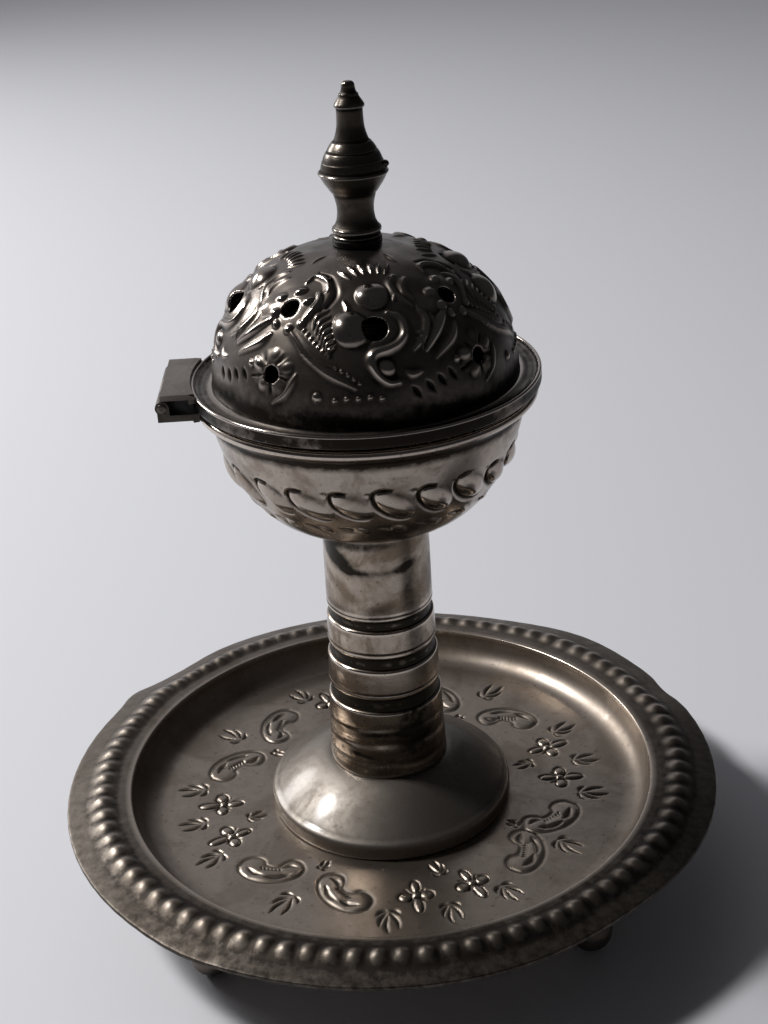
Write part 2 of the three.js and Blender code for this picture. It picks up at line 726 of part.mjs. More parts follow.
const domeInside = domeTop - sheet;
const screwWasherTop = domeInside - 0.35;
const screwWasherThickness = 0.8;
const screwHeadTop = screwWasherTop - screwWasherThickness - seatGap;

function finialScrew() {
  const headBottom = screwHeadTop - screwHeadHeight;
  const end = finialBottom + screwEngagement;
  const profile = [
    point(0, headBottom), point(screwHeadRadius * 0.75, headBottom + 0.2),
    point(screwHeadRadius, headBottom + screwHeadHeight * 0.5), point(screwHeadRadius, screwHeadTop),
    point(screwRadius, screwHeadTop), point(screwRadius, end - 0.4), point(screwRadius - 0.4, end), point(0, end),
  ];
  return toGeometry(toSolid(lathe(profile, 16)).subtract(driverSlot(screwHeadRadius, headBottom, -1)));
}

addPiece(lid, 'finial_washer',
  washer(screwBore, screwWasherRadius, screwWasherTop - screwWasherThickness, screwWasherThickness), hiddenSteel);
addPiece(lid, 'finial_screw', finialScrew(), hiddenSteel);

export default censer;
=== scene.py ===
"""Looks of the table incense burner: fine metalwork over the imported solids, in the same frame.

Sizes are in millimetres in the shared frame, and become metres where a mesh is made.
"""
import math

import bmesh
import bpy
import numpy as np
from mathutils import Matrix, Vector


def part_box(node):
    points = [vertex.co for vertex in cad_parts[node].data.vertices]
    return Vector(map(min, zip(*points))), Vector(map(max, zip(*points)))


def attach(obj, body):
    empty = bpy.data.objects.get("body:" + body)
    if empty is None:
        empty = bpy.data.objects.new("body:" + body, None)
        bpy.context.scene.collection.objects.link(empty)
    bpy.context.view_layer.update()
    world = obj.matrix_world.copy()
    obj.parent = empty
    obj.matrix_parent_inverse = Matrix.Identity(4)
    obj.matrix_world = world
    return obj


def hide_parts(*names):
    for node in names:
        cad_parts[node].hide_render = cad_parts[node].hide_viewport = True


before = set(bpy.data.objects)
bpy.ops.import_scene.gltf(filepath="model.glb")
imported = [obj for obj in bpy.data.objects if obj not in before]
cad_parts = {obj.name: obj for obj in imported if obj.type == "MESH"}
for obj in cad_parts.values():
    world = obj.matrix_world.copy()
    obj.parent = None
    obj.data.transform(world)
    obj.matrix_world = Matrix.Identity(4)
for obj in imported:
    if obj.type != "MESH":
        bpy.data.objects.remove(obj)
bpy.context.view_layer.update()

MM = 0.001
TAU = 2 * math.pi


def low(node, axis=2):
    """Lowest coordinate of a solid, in mm"""
    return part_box(node)[0][axis] / MM


def high(node, axis=2):
    """Highest coordinate of a solid, in mm"""
    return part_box(node)[1][axis] / MM


# Sizes of the solids that the fine pieces follow, in mm
SHEET = 0.9
TRAY_SHEET = 1.0
SOLDER_GAP = 0.3
BOLT_BORE = 2.9
SCREW_BORE = 2.3
FLOOR_RADIUS = 59.7
WELL_WIDTH = 7.8
WELL_DEPTH = 8.2
RIM_WIDTH = 15.6
RIM_DROP = 2.0
RIM_OVAL = 1.35
# Bends out and sags of the rim: direction in degrees, mm, and half width in degrees
RIM_BENDS = ((46, 2.2, 13), (20, -1.2, 4), (136, -1.4, 7), (149, 1.6, 4), (-50, -1.6, 18))
RIM_SAGS = ((-127, 0.8, 8), (143, 0.5, 7), (-20, 0.35, 16), (60, 0.4, 20))
BEADS = 88
BEAD_OFFSET = 6.7
BEAD_INWARD = 3.4
BEAD_OUTWARD = 4.2
BEAD_HEIGHT = 1.45
BEAD_DEPTH = 0.24
beaten = np.random.default_rng(7)
BEAD_SIZE = 1 - 0.16 * beaten.random(BEADS)
BEAD_SHIFT = 0.5 * (beaten.random(BEADS) - 0.5)
TRAY_FLOOR = low("tray") + TRAY_SHEET
CREST_RADIUS = FLOOR_RADIUS + WELL_WIDTH
CREST = TRAY_FLOOR + WELL_DEPTH

BOWL_RADIUS = 37.3
BOWL_DEPTH = 31.86
BOWL_FULLNESS = 1.339
BOWL_ROUNDNESS = 3.978
BOWL_BOTTOM = low("bowl")
BOWL_MOUTH = BOWL_BOTTOM + BOWL_DEPTH
GADROONS = 22

DOME_RADIUS = high("lid_dome", 0)
DOME_BASE = low("lid_dome")
DOME_HEIGHT = high("lid_dome") - DOME_BASE
DOME_FULLNESS = 2.058
DOME_ROUNDNESS = 2.373
SPOKES = 8

PIN_X = (low("hinge_pin", 0) + high("hinge_pin", 0)) / 2
PIN_Z = (low("hinge_pin") + high("hinge_pin")) / 2


# Outlines
def rounded(corners, steps=5, closed=False):
    """The outline through (radius, height, rounding) corners, each turned into a small curve"""
    made = []
    count = len(corners)
    for i, corner in enumerate(corners):
        here = np.array(corner[:2], float)
        rounding = corner[2] if len(corner) > 2 else 0
        at_end = not closed and i in (0, count - 1)
        if rounding == 0 or at_end:
            made.append(here)
            continue
        before = np.array(corners[i - 1][:2], float) - here
        after = np.array(corners[(i + 1) % count][:2], float) - here
        reach = min(rounding, 0.49 * np.linalg.norm(before), 0.49 * np.linalg.norm(after))
        start = here + before / np.linalg.norm(before) * reach
        end = here + after / np.linalg.norm(after) * reach
        for t in np.linspace(0, 1, steps + 1):
            made.append((1 - t) ** 2 * start + 2 * t * (1 - t) * here + t * t * end)
    return np.array(made)


def spaced(outline, step, closed=False):
    """The outline with its long stretches divided, so that no two points are more than a step apart"""
    ends = np.roll(outline, -1, axis=0)
    made = []
    for i, (a, b) in enumerate(zip(outline, ends)):
        if i == len(outline) - 1 and not closed:
            made.append(a)
            break
        parts = max(1, math.ceil(np.linalg.norm(b - a) / step))
        made += [a + (b - a) * k / parts for k in range(parts)]
    return np.array(made)


def smooth_curve(points, steps=6):
    """A smooth curve through a few points"""
    p = np.array(points, float)
    p = np.vstack([2 * p[0] - p[1], p, 2 * p[-1] - p[-2]])
    made = []
    for a, b, c, d in zip(p, p[1:], p[2:], p[3:]):
        for t in np.arange(steps) / steps:
            made.append(0.5 * (2 * b + (c - a) * t + (2 * a - 5 * b + 4 * c - d) * t ** 2
                               + (3 * b - a - 3 * c + d) * t ** 3))
    return np.array(made + [p[-2]])


def polar(distance, degrees, cx=0.0, cy=0.0):
    """The point at a distance and in a direction from (cx, cy)"""
    a = math.radians(degrees)
    return cx + distance * math.cos(a), cy + distance * math.sin(a)


def arc(cx, cy, radius, angles):
    """Points on a circle, at angles in radians"""
    return [(cx + radius * math.cos(a), cy + radius * math.sin(a)) for a in angles]


def travelled(line):
    """Length along a line, up to each of its points"""
    return np.concatenate([[0], np.cumsum(np.linalg.norm(np.diff(line, axis=0), axis=1))])


def bell(distance):
    """1 at a distance of 0 and almost 0 past 2, smooth between"""
    return np.exp(-distance ** 2)


def dents(place, table):
    """Sum of smooth dents, from rows of a place, a depth and a half width"""
    return sum(deep * bell((place - at) / half) for at, deep, half in table)


# Meshes
def smooth(mesh, crease):
    mesh.shade_smooth()
    mesh.set_sharp_from_angle(angle=math.radians(crease))


def linked(name, data):
    """An object with its mesh, lamp or camera, in the scene"""
    made = bpy.data.objects.new(name, data)
    bpy.context.scene.collection.objects.link(made)
    return made


def mesh_object(name, points, faces, crease=45, **attributes):
    """A smooth-shaded mesh object from points in mm"""
    mesh = bpy.data.meshes.new(name)
    mesh.from_pydata((np.asarray(points) * MM).tolist(), [], [list(f) for f in faces])
    for key, values in attributes.items():
        layer = mesh.attributes.new(key, "FLOAT", "POINT")
        layer.data.foreach_set("value", np.asarray(values, np.float32).ravel())
    mesh.update()
    smooth(mesh, crease)
    return linked(name, mesh)


def turning(outline, closed):
    """How sharply an outline bends at each point: above 0 at a ridge and below 0 in a groove, per mm"""
    before = outline - np.roll(outline, 1, axis=0)
    after = np.roll(outline, -1, axis=0) - outline
    if not closed:
        before[0], after[-1] = after[0], before[-1]
    cross = before[:, 0] * after[:, 1] - before[:, 1] * after[:, 0]
    r, z = outline.T
    turns_left = np.sum(r * np.roll(z, -1) - np.roll(r, -1) * z) > 0
    bend = np.arctan2(cross, np.sum(before * after, axis=1)) * (1 if turns_left else -1)
    length = np.maximum(0.5 * (np.linalg.norm(before, axis=1) + np.linalg.norm(after, axis=1)), 1e-6)
    place = travelled(outline)
    reach = 0.45
    weight = bell((place[:, None] - place[None, :]) / reach) * length[None, :]
    return (weight @ (bend / length)) / np.maximum(weight.sum(axis=1), 1e-9)


def swept(r, z, angle):
    """Points at a radius and a height, turned round the axis"""
    return np.stack([r * np.cos(angle), r * np.sin(angle), z], axis=-1).reshape(-1, 3)


def grid_faces(rows, columns, closed=False):
    """Quads of a turned grid, with its last row joined to the first where it is closed"""
    i = np.arange(rows if closed else rows - 1)[:, None]
    here, above = i * columns, (i + 1) % rows * columns
    j = np.arange(columns)[None, :]
    side = (j + 1) % columns
    return np.stack([here + j, here + side, above + side, above + j], axis=-1).reshape(-1, 4)


def turned(name, outline, columns, closed=True, shape=None, crease=45):
    """A turned piece with a closed outline, or an open one that starts and ends on the axis.
    shape(r, z, angle) may move the points and gives r, z and a relief: how raised or sunk each point is, with
    tarnish, wear, painted shade and painted highlights laid on it."""
    outline = np.asarray(outline, float)
    inner = slice(None) if closed else slice(1, -1)
    rows, bend = outline[inner], turning(outline, closed)[inner]
    angle = np.broadcast_to(np.arange(columns) * TAU / columns, (len(rows), columns))
    r, z = (np.repeat(rows[:, k:k + 1], columns, axis=1) for k in (0, 1))
    relief = np.zeros_like(r)
    if shape is not None:
        r, z, relief = shape(r, z, angle)
    points = swept(r, z, angle)
    # ridge and groove carry the relief's wear and tarnish, and with it painted highlights and painted shade
    ridge, groove = ((np.clip(sign * bend, 0, 1)[:, None] + np.clip(sign * relief, 0, 1)).ravel()
                     for sign in (1, -1))
    faces = grid_faces(len(rows), columns, closed).tolist()
    if not closed:
        first, last = len(points), len(points) + 1
        points = np.vstack([points, [0, 0, outline[0][1]], [0, 0, outline[-1][1]]])
        ridge, groove = np.append(ridge, [0, 0]), np.append(groove, [0, 0])
        top = (len(rows) - 1) * columns
        for k in range(columns):
            following = (k + 1) % columns
            faces += [[first, following, k], [last, top + k, top + following]]
    return mesh_object(name, points, outward(points, faces), crease, ridge=ridge, groove=groove)


def lathed(name, corners, columns, step, steps=5, closed=True, **options):
    """A turned piece through rounded corners, with no two points of its outline more than a step apart"""
    outline = spaced(rounded(corners, steps, closed), step, closed)
    return turned(name, outline, columns, closed, **options)


def outward(points, faces):
    """The same faces, turned round if they enclose a negative volume"""
    p = np.asarray(points)
    f = np.array([face[:3] for face in faces])
    volume = np.einsum("ij,ij->i", p[f[:, 0]], np.cross(p[f[:, 1]], p[f[:, 2]])).sum()
    quads = np.array([face for face in faces if len(face) == 4])
    if len(quads):
        volume += np.einsum("ij,ij->i", p[quads[:, 0]], np.cross(p[quads[:, 2]], p[quads[:, 3]])).sum()
    return [face[::-1] for face in faces] if volume < 0 else faces


def modified(piece, kind, **settings):
    """The piece with a modifier applied to its mesh"""
    modifier = piece.modifiers.new(kind.lower(), kind)
    for key, value in settings.items():
        setattr(modifier, key, value)
    evaluated = piece.evaluated_get(bpy.context.evaluated_depsgraph_get())
    mesh = bpy.data.meshes.new_from_object(evaluated)
    piece.modifiers.clear()
    piece.data = mesh
    return piece


def combine(piece, other, operation):
    """Joins the other mesh to the piece or cuts it away, and removes the other"""
    modified(piece, "BOOLEAN", operation=operation, object=other, solver="EXACT")
    bpy.data.objects.remove(other)
    return piece


def bevelled(piece, width):
    """Rounds the piece's sharp edges"""
    modified(piece, "BEVEL", width=width * MM, segments=3, limit_method="ANGLE", angle_limit=math.radians(30))
    smooth(piece.data, 50)
    return piece


def prism(name, outline, bottom, top, upright=True):
    """An extruded outline of (x, y) points in mm, or of (x, z) points extruded along Y"""
    count = len(outline)
    make = (lambda p, level: (p[0], p[1], level)) if upright else (lambda p, level: (p[0], level, p[1]))
    points = [make(p, level) for level in (bottom, top) for p in outline]
    sides = [[k, (k + 1) % count, count + (k + 1) % count, count + k] for k in range(count)]
    faces = sides + [list(range(count))[::-1], list(range(count, 2 * count))]
    mesh = bpy.data.meshes.new(name)
    mesh.from_pydata((np.array(points) * MM).tolist(), [], faces)
    work = bmesh.new()
    work.from_mesh(mesh)
    bmesh.ops.recalc_face_normals(work, faces=work.faces)
    work.to_mesh(mesh)
    work.free()
    smooth(mesh, 45)
    return linked(name, mesh)


# Raised and sunk ornament
class Relief:
    """Ornament drawn on points with flat coordinates x, to the side, and y, upward, in mm.
    Several charts of one surface share one array of heights."""

    def __init__(self, x, y, heights):
        self.x, self.y, self.heights = x, y, heights

    def near(self, cx, cy, reach):
        return np.nonzero((np.abs(self.x - cx) < reach) & (np.abs(self.y - cy) < reach))

    def boss(self, cx, cy, along, across=None, turn=0.0, height=0.8, fullness=0.7):
        """A raised oval"""
        across = along if across is None else across
        chosen = self.near(cx, cy, max(along, across))
        dx, dy = self.x[chosen] - cx, self.y[chosen] - cy
        c, s = polar(1, turn)
        q = ((dx * c + dy * s) / along) ** 2 + ((dy * c - dx * s) / across) ** 2
        raised = height * np.clip(1 - q, 0, None) ** fullness
        self.heights[chosen] = np.maximum(self.heights[chosen], raised)

    def stroke(self, points, width, height, ends=1.0):
        """A raised ridge, or a sunk line if height is below 0, along a curve. ends is its width there."""
        line = np.array(points, float)
        centre = (line.min(axis=0) + line.max(axis=0)) / 2
        reach = np.max(line.max(axis=0) - line.min(axis=0)) / 2 + 3 * width
        chosen = self.near(centre[0], centre[1], reach)
        p = np.stack([self.x[chosen], self.y[chosen]], axis=-1)
        if not len(p):
            return
        best = np.full(len(p), 1e9)
        where = np.zeros(len(p))
        for k, (a, b) in enumerate(zip(line, line[1:])):
            run = b - a
            t = np.clip(((p - a) @ run) / max(run @ run, 1e-9), 0, 1)
            distance = np.linalg.norm(p - a - t[:, None] * run, axis=1)
            closer = distance < best
            best[closer] = distance[closer]
            where[closer] = (k + t[closer]) / (len(line) - 1)
        taper = ends + (1 - ends) * np.sin(np.pi * np.clip(where, 0.02, 0.98)) ** 0.6
        mark = height * taper * bell(best / (width * taper))
        here = self.heights[chosen]
        self.heights[chosen] = np.maximum(here, mark) if height > 0 else here + mark

    def dots(self, points, spacing, radius, height):
        """A row of small punched dots along a curve"""
        line = np.array(points, float)
        lengths = travelled(line)
        for place in np.arange(spacing / 2, lengths[-1], spacing):
            cx, cy = (np.interp(place, lengths, line[:, k]) for k in (0, 1))
            self.boss(cx, cy, radius, height=height)


def ring_of(cx, cy, radius, start, end, squash=1.0, turn=0.0, steps=20):
    """Points on an arc round (cx, cy), from one direction to another, in degrees"""
    a = np.radians(np.linspace(start, end, steps))
    x, y = radius * np.cos(a), radius * squash * np.sin(a)
    c, s = polar(1, turn)
    return np.stack([cx + x * c - y * s, cy + x * s + y * c], axis=-1)


def local_relief(heights, reach_rows, reach_columns):
    """How far each point of a grid stands above or below its neighbourhood, in mm"""
    mean = heights
    for axis, reach, ends in ((0, reach_rows, "clip"), (1, reach_columns, "wrap")):
        places = np.arange(mean.shape[axis])
        total = sum(mean.take(places + step, axis, mode=ends) for step in range(-reach, reach + 1))
        mean = total / (2 * reach + 1)
    return heights - mean


# Tray
TRAY_COLUMNS = BEADS * 12


def rim_height(r):
    return CREST - RIM_DROP * ((r - CREST_RADIUS) / RIM_WIDTH) ** 2


def bead_height(r, angle):
    """Height of the rim's raised ring of ovals: steep at the inner side and fading out towards the edge"""
    pitch = TAU / BEADS
    number = np.floor(angle / pitch + 0.5).astype(int) % BEADS
    across = (((angle / pitch + 0.5) % 1) - 0.5) * 2
    along = r - (CREST_RADIUS + BEAD_OFFSET + BEAD_SHIFT[number])
    along = along / np.where(along < 0, BEAD_INWARD, BEAD_OUTWARD)
    steepness, fading = 1.8, 0.05
    window = np.cos(np.clip(along, -1, 1) * math.pi / 2) ** steepness
    depth = BEAD_DEPTH - fading * np.clip(along, -1, 1)
    return BEAD_HEIGHT * BEAD_SIZE[number] * (1 - depth + depth * np.cos(across * math.pi)) * window


def well_curve(thickness, degrees):
    """A point on the well's wall, from 0 degrees at the floor to 90 at the crest"""
    a = np.radians(degrees)
    return FLOOR_RADIUS + (WELL_WIDTH + thickness) * np.sin(a), CREST - (WELL_DEPTH + thickness) * np.cos(a)


# A flower's petals: direction in degrees, how far the tip is from the heart, and width of a wide one
PETALS = ((0, 6.3, 2.4), (84, 4.3, 3.0), (178, 5.3, 2.2), (-86, 4.4, 3.1))
NARROW_PETALS = ((42, 3.6), (131, 3.1), (-134, 3.7), (-44, 3.4))
# A spray's leaves: direction, where each starts and ends as shares of the spray's length
LEAVES = ((-25, 0.12, 0.74), (-5, 0.24, 1.0), (16, 0.14, 0.9), (54, 0.02, 0.4), (-60, 0.02, 0.42))
# A kidney's outline, and the bars punched in it
KIDNEY = ((-9.1, 0.0), (-7.6, 3.1), (-4.8, 4.1), (-2.6, 3.2), (-1.7, 1.4), (0.4, 0.7), (2.2, 1.0), (3.3, 2.6),
          (5.4, 3.9), (7.8, 3.0), (9.1, 0.3), (8.1, -2.5), (5.2, -4.6), (1.4, -5.7), (-2.2, -5.7),
          (-5.8, -4.5), (-8.3, -2.3), (-9.1, 0.0))
KIDNEY_BARS = (((-6.4, -0.6), (-4.4, -2.2), (-1.8, -3.0)), ((-0.9, -3.9), (2.4, -3.6), (5.6, -2.0)),
               ((2.9, 0.4), (4.8, 1.4), (7.0, 0.9)))
# Directions of the pairs of flowers. The sprays of a pair: direction from its middle, radius, length and lean
FLOWER_PAIRS = (8, 102, 193.5, 284.5)
SPRAYS = ((-17.5, 49.2, 8.2, 6), (-0.5, 49.4, 7.6, -6), (15.5, 49.4, 7.8, 8), (1.5, 39.0, 5.6, 184.5))


def flower(chart, cx, cy, turn):
    """A chased flower: domed petals in outline, two long and two round, narrow ones between, and a heart"""
    start = 0.9
    for direction, tip, width in PETALS:
        half = (tip - start) / 2
        middle = polar(start + half, turn + direction, cx, cy)
        chart.boss(*middle, 0.86 * half, 0.42 * width, turn + direction, 0.24, 0.8)
        outline = ring_of(*middle, half, 0, 360, width / 2 / half, turn + direction, 22)
        chart.stroke(outline, 0.3, -0.3)
    for direction, tip in NARROW_PETALS:
        line = [polar(distance, turn + direction, cx, cy) for distance in (1.1, tip)]
        chart.stroke(line, 0.36, -0.3, ends=0.25)
    chart.boss(cx, cy, 0.85, height=0.4)


def spray(chart, cx, cy, direction, size):
    """A spray of leaves punched as narrow notches"""
    for turn, start, end in LEAVES:
        a = math.radians(direction + turn)
        bow = 0.07 * size * (1 if turn > 0 else -1)
        middle = (start + end) / 2 * size
        points = [(cx + d * math.cos(a) - b * math.sin(a), cy + d * math.sin(a) + b * math.cos(a))
                  for d, b in ((start * size, 0), (middle, bow), (end * size, 0))]
        chart.stroke(smooth_curve(points), 0.46, -0.42, ends=0.15)


def kidney(chart, radius, degrees, side):
    """A puffed kidney shape with notches in it. Its end towards the flower, on one side, points outward."""
    a, tilt = math.radians(degrees), math.radians(34)
    out, along = np.array([math.cos(a), math.sin(a)]), side * np.array([-math.sin(a), math.cos(a)])
    u = along * math.cos(tilt) - out * math.sin(tilt)
    v = -out * math.cos(tilt) - along * math.sin(tilt)
    turn = math.degrees(math.atan2(u[1], u[0]))

    def place(points):
        return np.array([radius * out + x * u + y * v for x, y in points])

    size = 0.92
    for x, y, length, width in ((-5.2, -0.4, 3.4, 3.4), (5.6, -0.2, 3.2, 3.2), (0.0, -3.0, 5.6, 2.2)):
        chart.boss(*place([(x * size, y * size)])[0], length * size, width * size, turn, 0.3, 0.8)
    chart.stroke(smooth_curve(place(np.array(KIDNEY) * size), 4), 0.48, -0.27)
    for bar in KIDNEY_BARS:
        chart.stroke(smooth_curve(place(np.array(bar) * size)), 0.7, -0.55, ends=0.25)
    for k in range(6):
        x = (-2.7 + k) * size
        chart.stroke(place([(x, 0.3 * size), (x + 0.35, -0.9 * size)]), 0.26, -0.32, ends=0.4)


def engraving(x, y):
    """Depth of the tray floor's chased ornament: four pairs of flowers, with pairs of kidneys between them"""
    heights = np.zeros_like(x)
    chart = Relief(x, y, heights)
    for middle, following in zip(FLOWER_PAIRS, FLOWER_PAIRS[1:] + (FLOWER_PAIRS[0] + 360,)):
        flower(chart, *polar(44.6, middle - 9), middle - 9)
        flower(chart, *polar(44.9, middle + 9), middle + 13)
        for degrees, radius, size, lean in SPRAYS:
            spray(chart, *polar(radius, middle + degrees), middle + degrees + lean, size)
        half = (middle + following) / 2
        kidney(chart, 43.8, middle + 31.5, 1)
        kidney(chart, 43.8, following - 31.5, -1)
        spray(chart, *polar(48.6, half), half - 9, 8.4)
        spray(chart, *polar(37.4, half + 1), half + 176, 3.6)
    return heights


def make_tray():
    """The tray: its rows lie close together where it is engraved and beaded"""
    plain_to, engraved_to, fine_step = 31.0, 58.2, 0.23
    floor_rows = [*np.linspace(BOLT_BORE, plain_to, 16), *np.arange(plain_to + 0.3, engraved_to, fine_step)]
    floor = [(r, TRAY_FLOOR) for r in floor_rows]
    wall = [well_curve(0, a) for a in np.linspace(4, 80, 20)]
    crest_end = CREST_RADIUS + 1.8
    crest = rounded([wall[-1], (CREST_RADIUS, CREST, 1.3), (crest_end, rim_height(crest_end))], 8)
    edge = CREST_RADIUS + RIM_WIDTH - 0.1
    lip_start = edge - 0.6
    rim = [(r, rim_height(r)) for r in np.arange(CREST_RADIUS + 2.0, lip_start, 0.32)]
    lip_top, edge_top = rim_height(lip_start), rim_height(edge)
    lip = rounded([(lip_start, lip_top), (edge, edge_top, 0.45), (edge, edge_top - TRAY_SHEET, 0.45),
                   (lip_start, lip_top - TRAY_SHEET)], 4)
    under_rim = [(r, rim_height(r) - TRAY_SHEET) for r in np.arange(edge - 0.9, CREST_RADIUS + 2.4, -0.6)]
    under_wall = [well_curve(TRAY_SHEET, a) for a in np.linspace(82, 3, 16)]
    under_floor = [(r, TRAY_FLOOR - TRAY_SHEET) for r in np.linspace(FLOOR_RADIUS - 0.5, BOLT_BORE, 14)]
    outline = np.array([*floor, *wall[:-1], *crest, *rim, *lip, *under_rim, *under_wall, *under_floor])
    top = slice(0, len(floor))

    def shape(r, z, angle):
        heights = np.zeros_like(r)
        heights[top] = engraving(r[top] * np.cos(angle[top]), r[top] * np.sin(angle[top]))
        beads = np.where(r > CREST_RADIUS, bead_height(r, angle), 0)
        engraved_contrast, bead_contrast = 3.2, 1.1
        relief = engraved_contrast * local_relief(heights, 3, 3) + bead_contrast * local_relief(beads, 4, 5)
        # The whole rim is tarnished, and the extra darkening towards the front is painted shade, a dark
        # reflection painted into the colour
        relief -= (0.42 - 0.15 * np.sin(angle)) * (r > CREST_RADIUS + 1.5)
        share = np.clip((r - CREST_RADIUS) / RIM_WIDTH, 0, 1)
        degrees = (np.degrees(angle) + 180) % 360 - 180
        bend = RIM_OVAL * np.cos(2 * angle) + dents(degrees, RIM_BENDS)
        scallop = 0.03 * np.cos(BEADS * angle) - 0.03
        swell = 0.3 * bell((r - CREST_RADIUS - 7.0) / 3.6) * (r > CREST_RADIUS)
        z = z + heights + beads + swell - share ** 3 * dents(degrees, RIM_SAGS)
        return r + share * bend + share ** 6 * scallop, z, relief

    return turned("tray_plate", outline, TRAY_COLUMNS, shape=shape)


# Tray feet
FOOT_CIRCLE = 65.0
FOOT_BALL = 5.2
FOOT_NECK = 3.2
FOOT_TOP = 4.6
FOOT_TIP = 2.0


def under_tray(radius):
    """Height of the tray's underside"""
    gap = TRAY_SHEET - 0.1
    steepest = 0.9915
    sine = np.clip((radius - FLOOR_RADIUS) / (WELL_WIDTH + gap), 0, steepest)
    return CREST - (WELL_DEPTH + gap) * np.sqrt(1 - sine ** 2)


def make_foot(number):
    """A ball foot whose flat top follows the tray's underside"""
    centre_height = FOOT_BALL * 0.95
    ball = arc(0, centre_height, FOOT_BALL, np.radians(np.linspace(-62, 50, 20)))
    start = TRAY_FLOOR - 2.2
    profile = rounded([(0, 0), (FOOT_TIP, 0, 0.3), *ball, (FOOT_NECK, centre_height + FOOT_BALL * 1.02, 0.8),
                       (FOOT_NECK, centre_height + FOOT_BALL * 1.25, 0.8), (FOOT_TOP, start, 0.5)], 4)
    rise = [(FOOT_TOP, start + t) for t in np.linspace(0, 1, 10)[1:]]
    cap = [(r, start + 1) for r in np.linspace(FOOT_TOP, 0, 8)[1:]]
    outline = np.array([*spaced(profile, 0.6), *rise, *cap])
    cx, cy = polar(FOOT_CIRCLE, 45 + 90 * number)

    def shape(r, z, around):
        distance = np.hypot(cx + r * np.cos(around), cy + r * np.sin(around))
        share = np.clip(z - start, 0, 1)
        z = np.where(share > 0, start + share * (under_tray(distance) - start), z)
        return r, z, np.zeros_like(r)

    foot = turned(f"tray_foot_cast_{number + 1}", outline, 48, closed=False, shape=shape)
    foot.data.vertices[-1].co.z = under_tray(FOOT_CIRCLE) * MM
    foot.data.transform(Matrix.Translation((cx * MM, cy * MM, 0)))
    return foot


# Pedestal foot
PEDESTAL_EDGE = 4.4
PEDESTAL_CURVE = 1.35
PEDESTAL_WALL = 1.6
STEM_BOTTOM_RADIUS = 15.2
STEM_WALL = 1.5
SPIGOT_CLEARANCE = 0.5


def make_pedestal():
    """The flared foot, with a spigot that centres the stem"""
    bottom, spigot_top = low("pedestal_foot"), high("pedestal_foot")
    radius = high("pedestal_foot", 0)
    edge = radius - 0.8
    shoulder = TRAY_FLOOR + PEDESTAL_EDGE
    step = low("stem") - 0.1
    spigot = STEM_BOTTOM_RADIUS - STEM_WALL - SPIGOT_CLEARANCE
    run = edge - (STEM_BOTTOM_RADIUS + 0.4)
    flare = [(edge - run * t, shoulder + (step - shoulder) * (1 - (1 - t) ** PEDESTAL_CURVE))
             for t in np.linspace(0.06, 1, 24)]
    under = step - PEDESTAL_WALL
    corners = [
        (radius, bottom, 0.5), (radius, shoulder - 0.3, 1.7), *flare[:-1], (*flare[-1], 0.4),
        (spigot, step, 0.2), (spigot, spigot_top, 0.4), (BOLT_BORE, spigot_top, 0.2), (BOLT_BORE, under, 0.2),
        (STEM_BOTTOM_RADIUS, under, 1.0), (edge - PEDESTAL_WALL, shoulder - PEDESTAL_WALL, 1.2),
        (radius - PEDESTAL_WALL, bottom, 0.3),
    ]
    return lathed("pedestal_spun", corners, 288, 0.7)


# Stem
STEM_TOP_RADIUS = 13.05
STEM_STRAIGHT = 22.0
STEM_OPENING = 7.0
GROOVE_DEPTH = 0.7
# Height of each groove's start, and its width
GROOVES = ((18.6, 4.2), (30.4, 3.8), (41.2, 3.2))
# Height of each worn ring, its depth and half width
STEM_DENTS = ((13.9, 0.12, 0.6), (9.4, 0.3, 1.0), (3.6, 0.2, 0.8))
# Dark marks: soot stains, and near 300 degrees painted shade and a painted dark reflection on the tube's
# right side. Direction in degrees, height, half sizes, lean and strength
SOOT_AND_PAINTED_SHADE = (
    (222, 60.1, 25, 2.4, -2.2, 1.0), (205, 64.2, 19, 2.8, -1.0, 0.55), (262, 57.6, 34, 0.8, -0.3, 0.45),
    (300, 58.4, 16, 1.0, 0.5, 0.7), (268, 47.0, 18, 2.2, 0.6, 0.35), (215, 46.6, 20, 1.4, 0, 0.3),
    (248, 64.8, 50, 1.3, 0.3, 0.55), (345, 52.0, 14, 9.0, 0, 0.25), (60, 55.0, 30, 6.0, 2, 0.4),
    (130, 60.0, 22, 3.0, 1, 0.6), (100, 26.0, 40, 1.5, 0.5, 0.4), (302, 51.0, 8, 19.0, 0, 0.42),
    (300, 13.0, 24, 10.0, 0, 0.6), (252, 12.6, 30, 0.8, 0.4, 0.6), (238, 6.4, 18, 0.7, -0.5, 0.6),
)
# Painted highlights: lighter, smoother spots on the left where the lamp and the pedestal's lit top reflect,
# listed the same way
PAINTED_HIGHLIGHTS = ((224, 14.6, 12, 2.8, -2.0, 1.6), (217, 5.4, 11, 3.8, 1.0, 1.5), (232, 11.6, 8, 1.6, 1.0, 0.8),
                (218, 27.4, 6, 1.4, 0, 0.7), (226, 38.0, 5, 1.6, 0, 0.4))


def stem_radius(height, length):
    """Radius of the tube, which narrows less in its upper stretch"""
    straight = length - STEM_STRAIGHT
    top = STEM_TOP_RADIUS + 0.25
    return np.interp(height, [0, straight, length], [STEM_BOTTOM_RADIUS, top, STEM_TOP_RADIUS])


def marks(degrees, height, table):
    """How strong the marks of a table are at each point"""
    total = np.zeros_like(height)
    for at, level, wide, tall, lean, strength in table:
        along = (degrees - at) / wide
        rise = (height - level - lean * along) / tall
        total += strength * np.exp(-(along ** 2 + rise ** 2) ** 1.5)
    return total


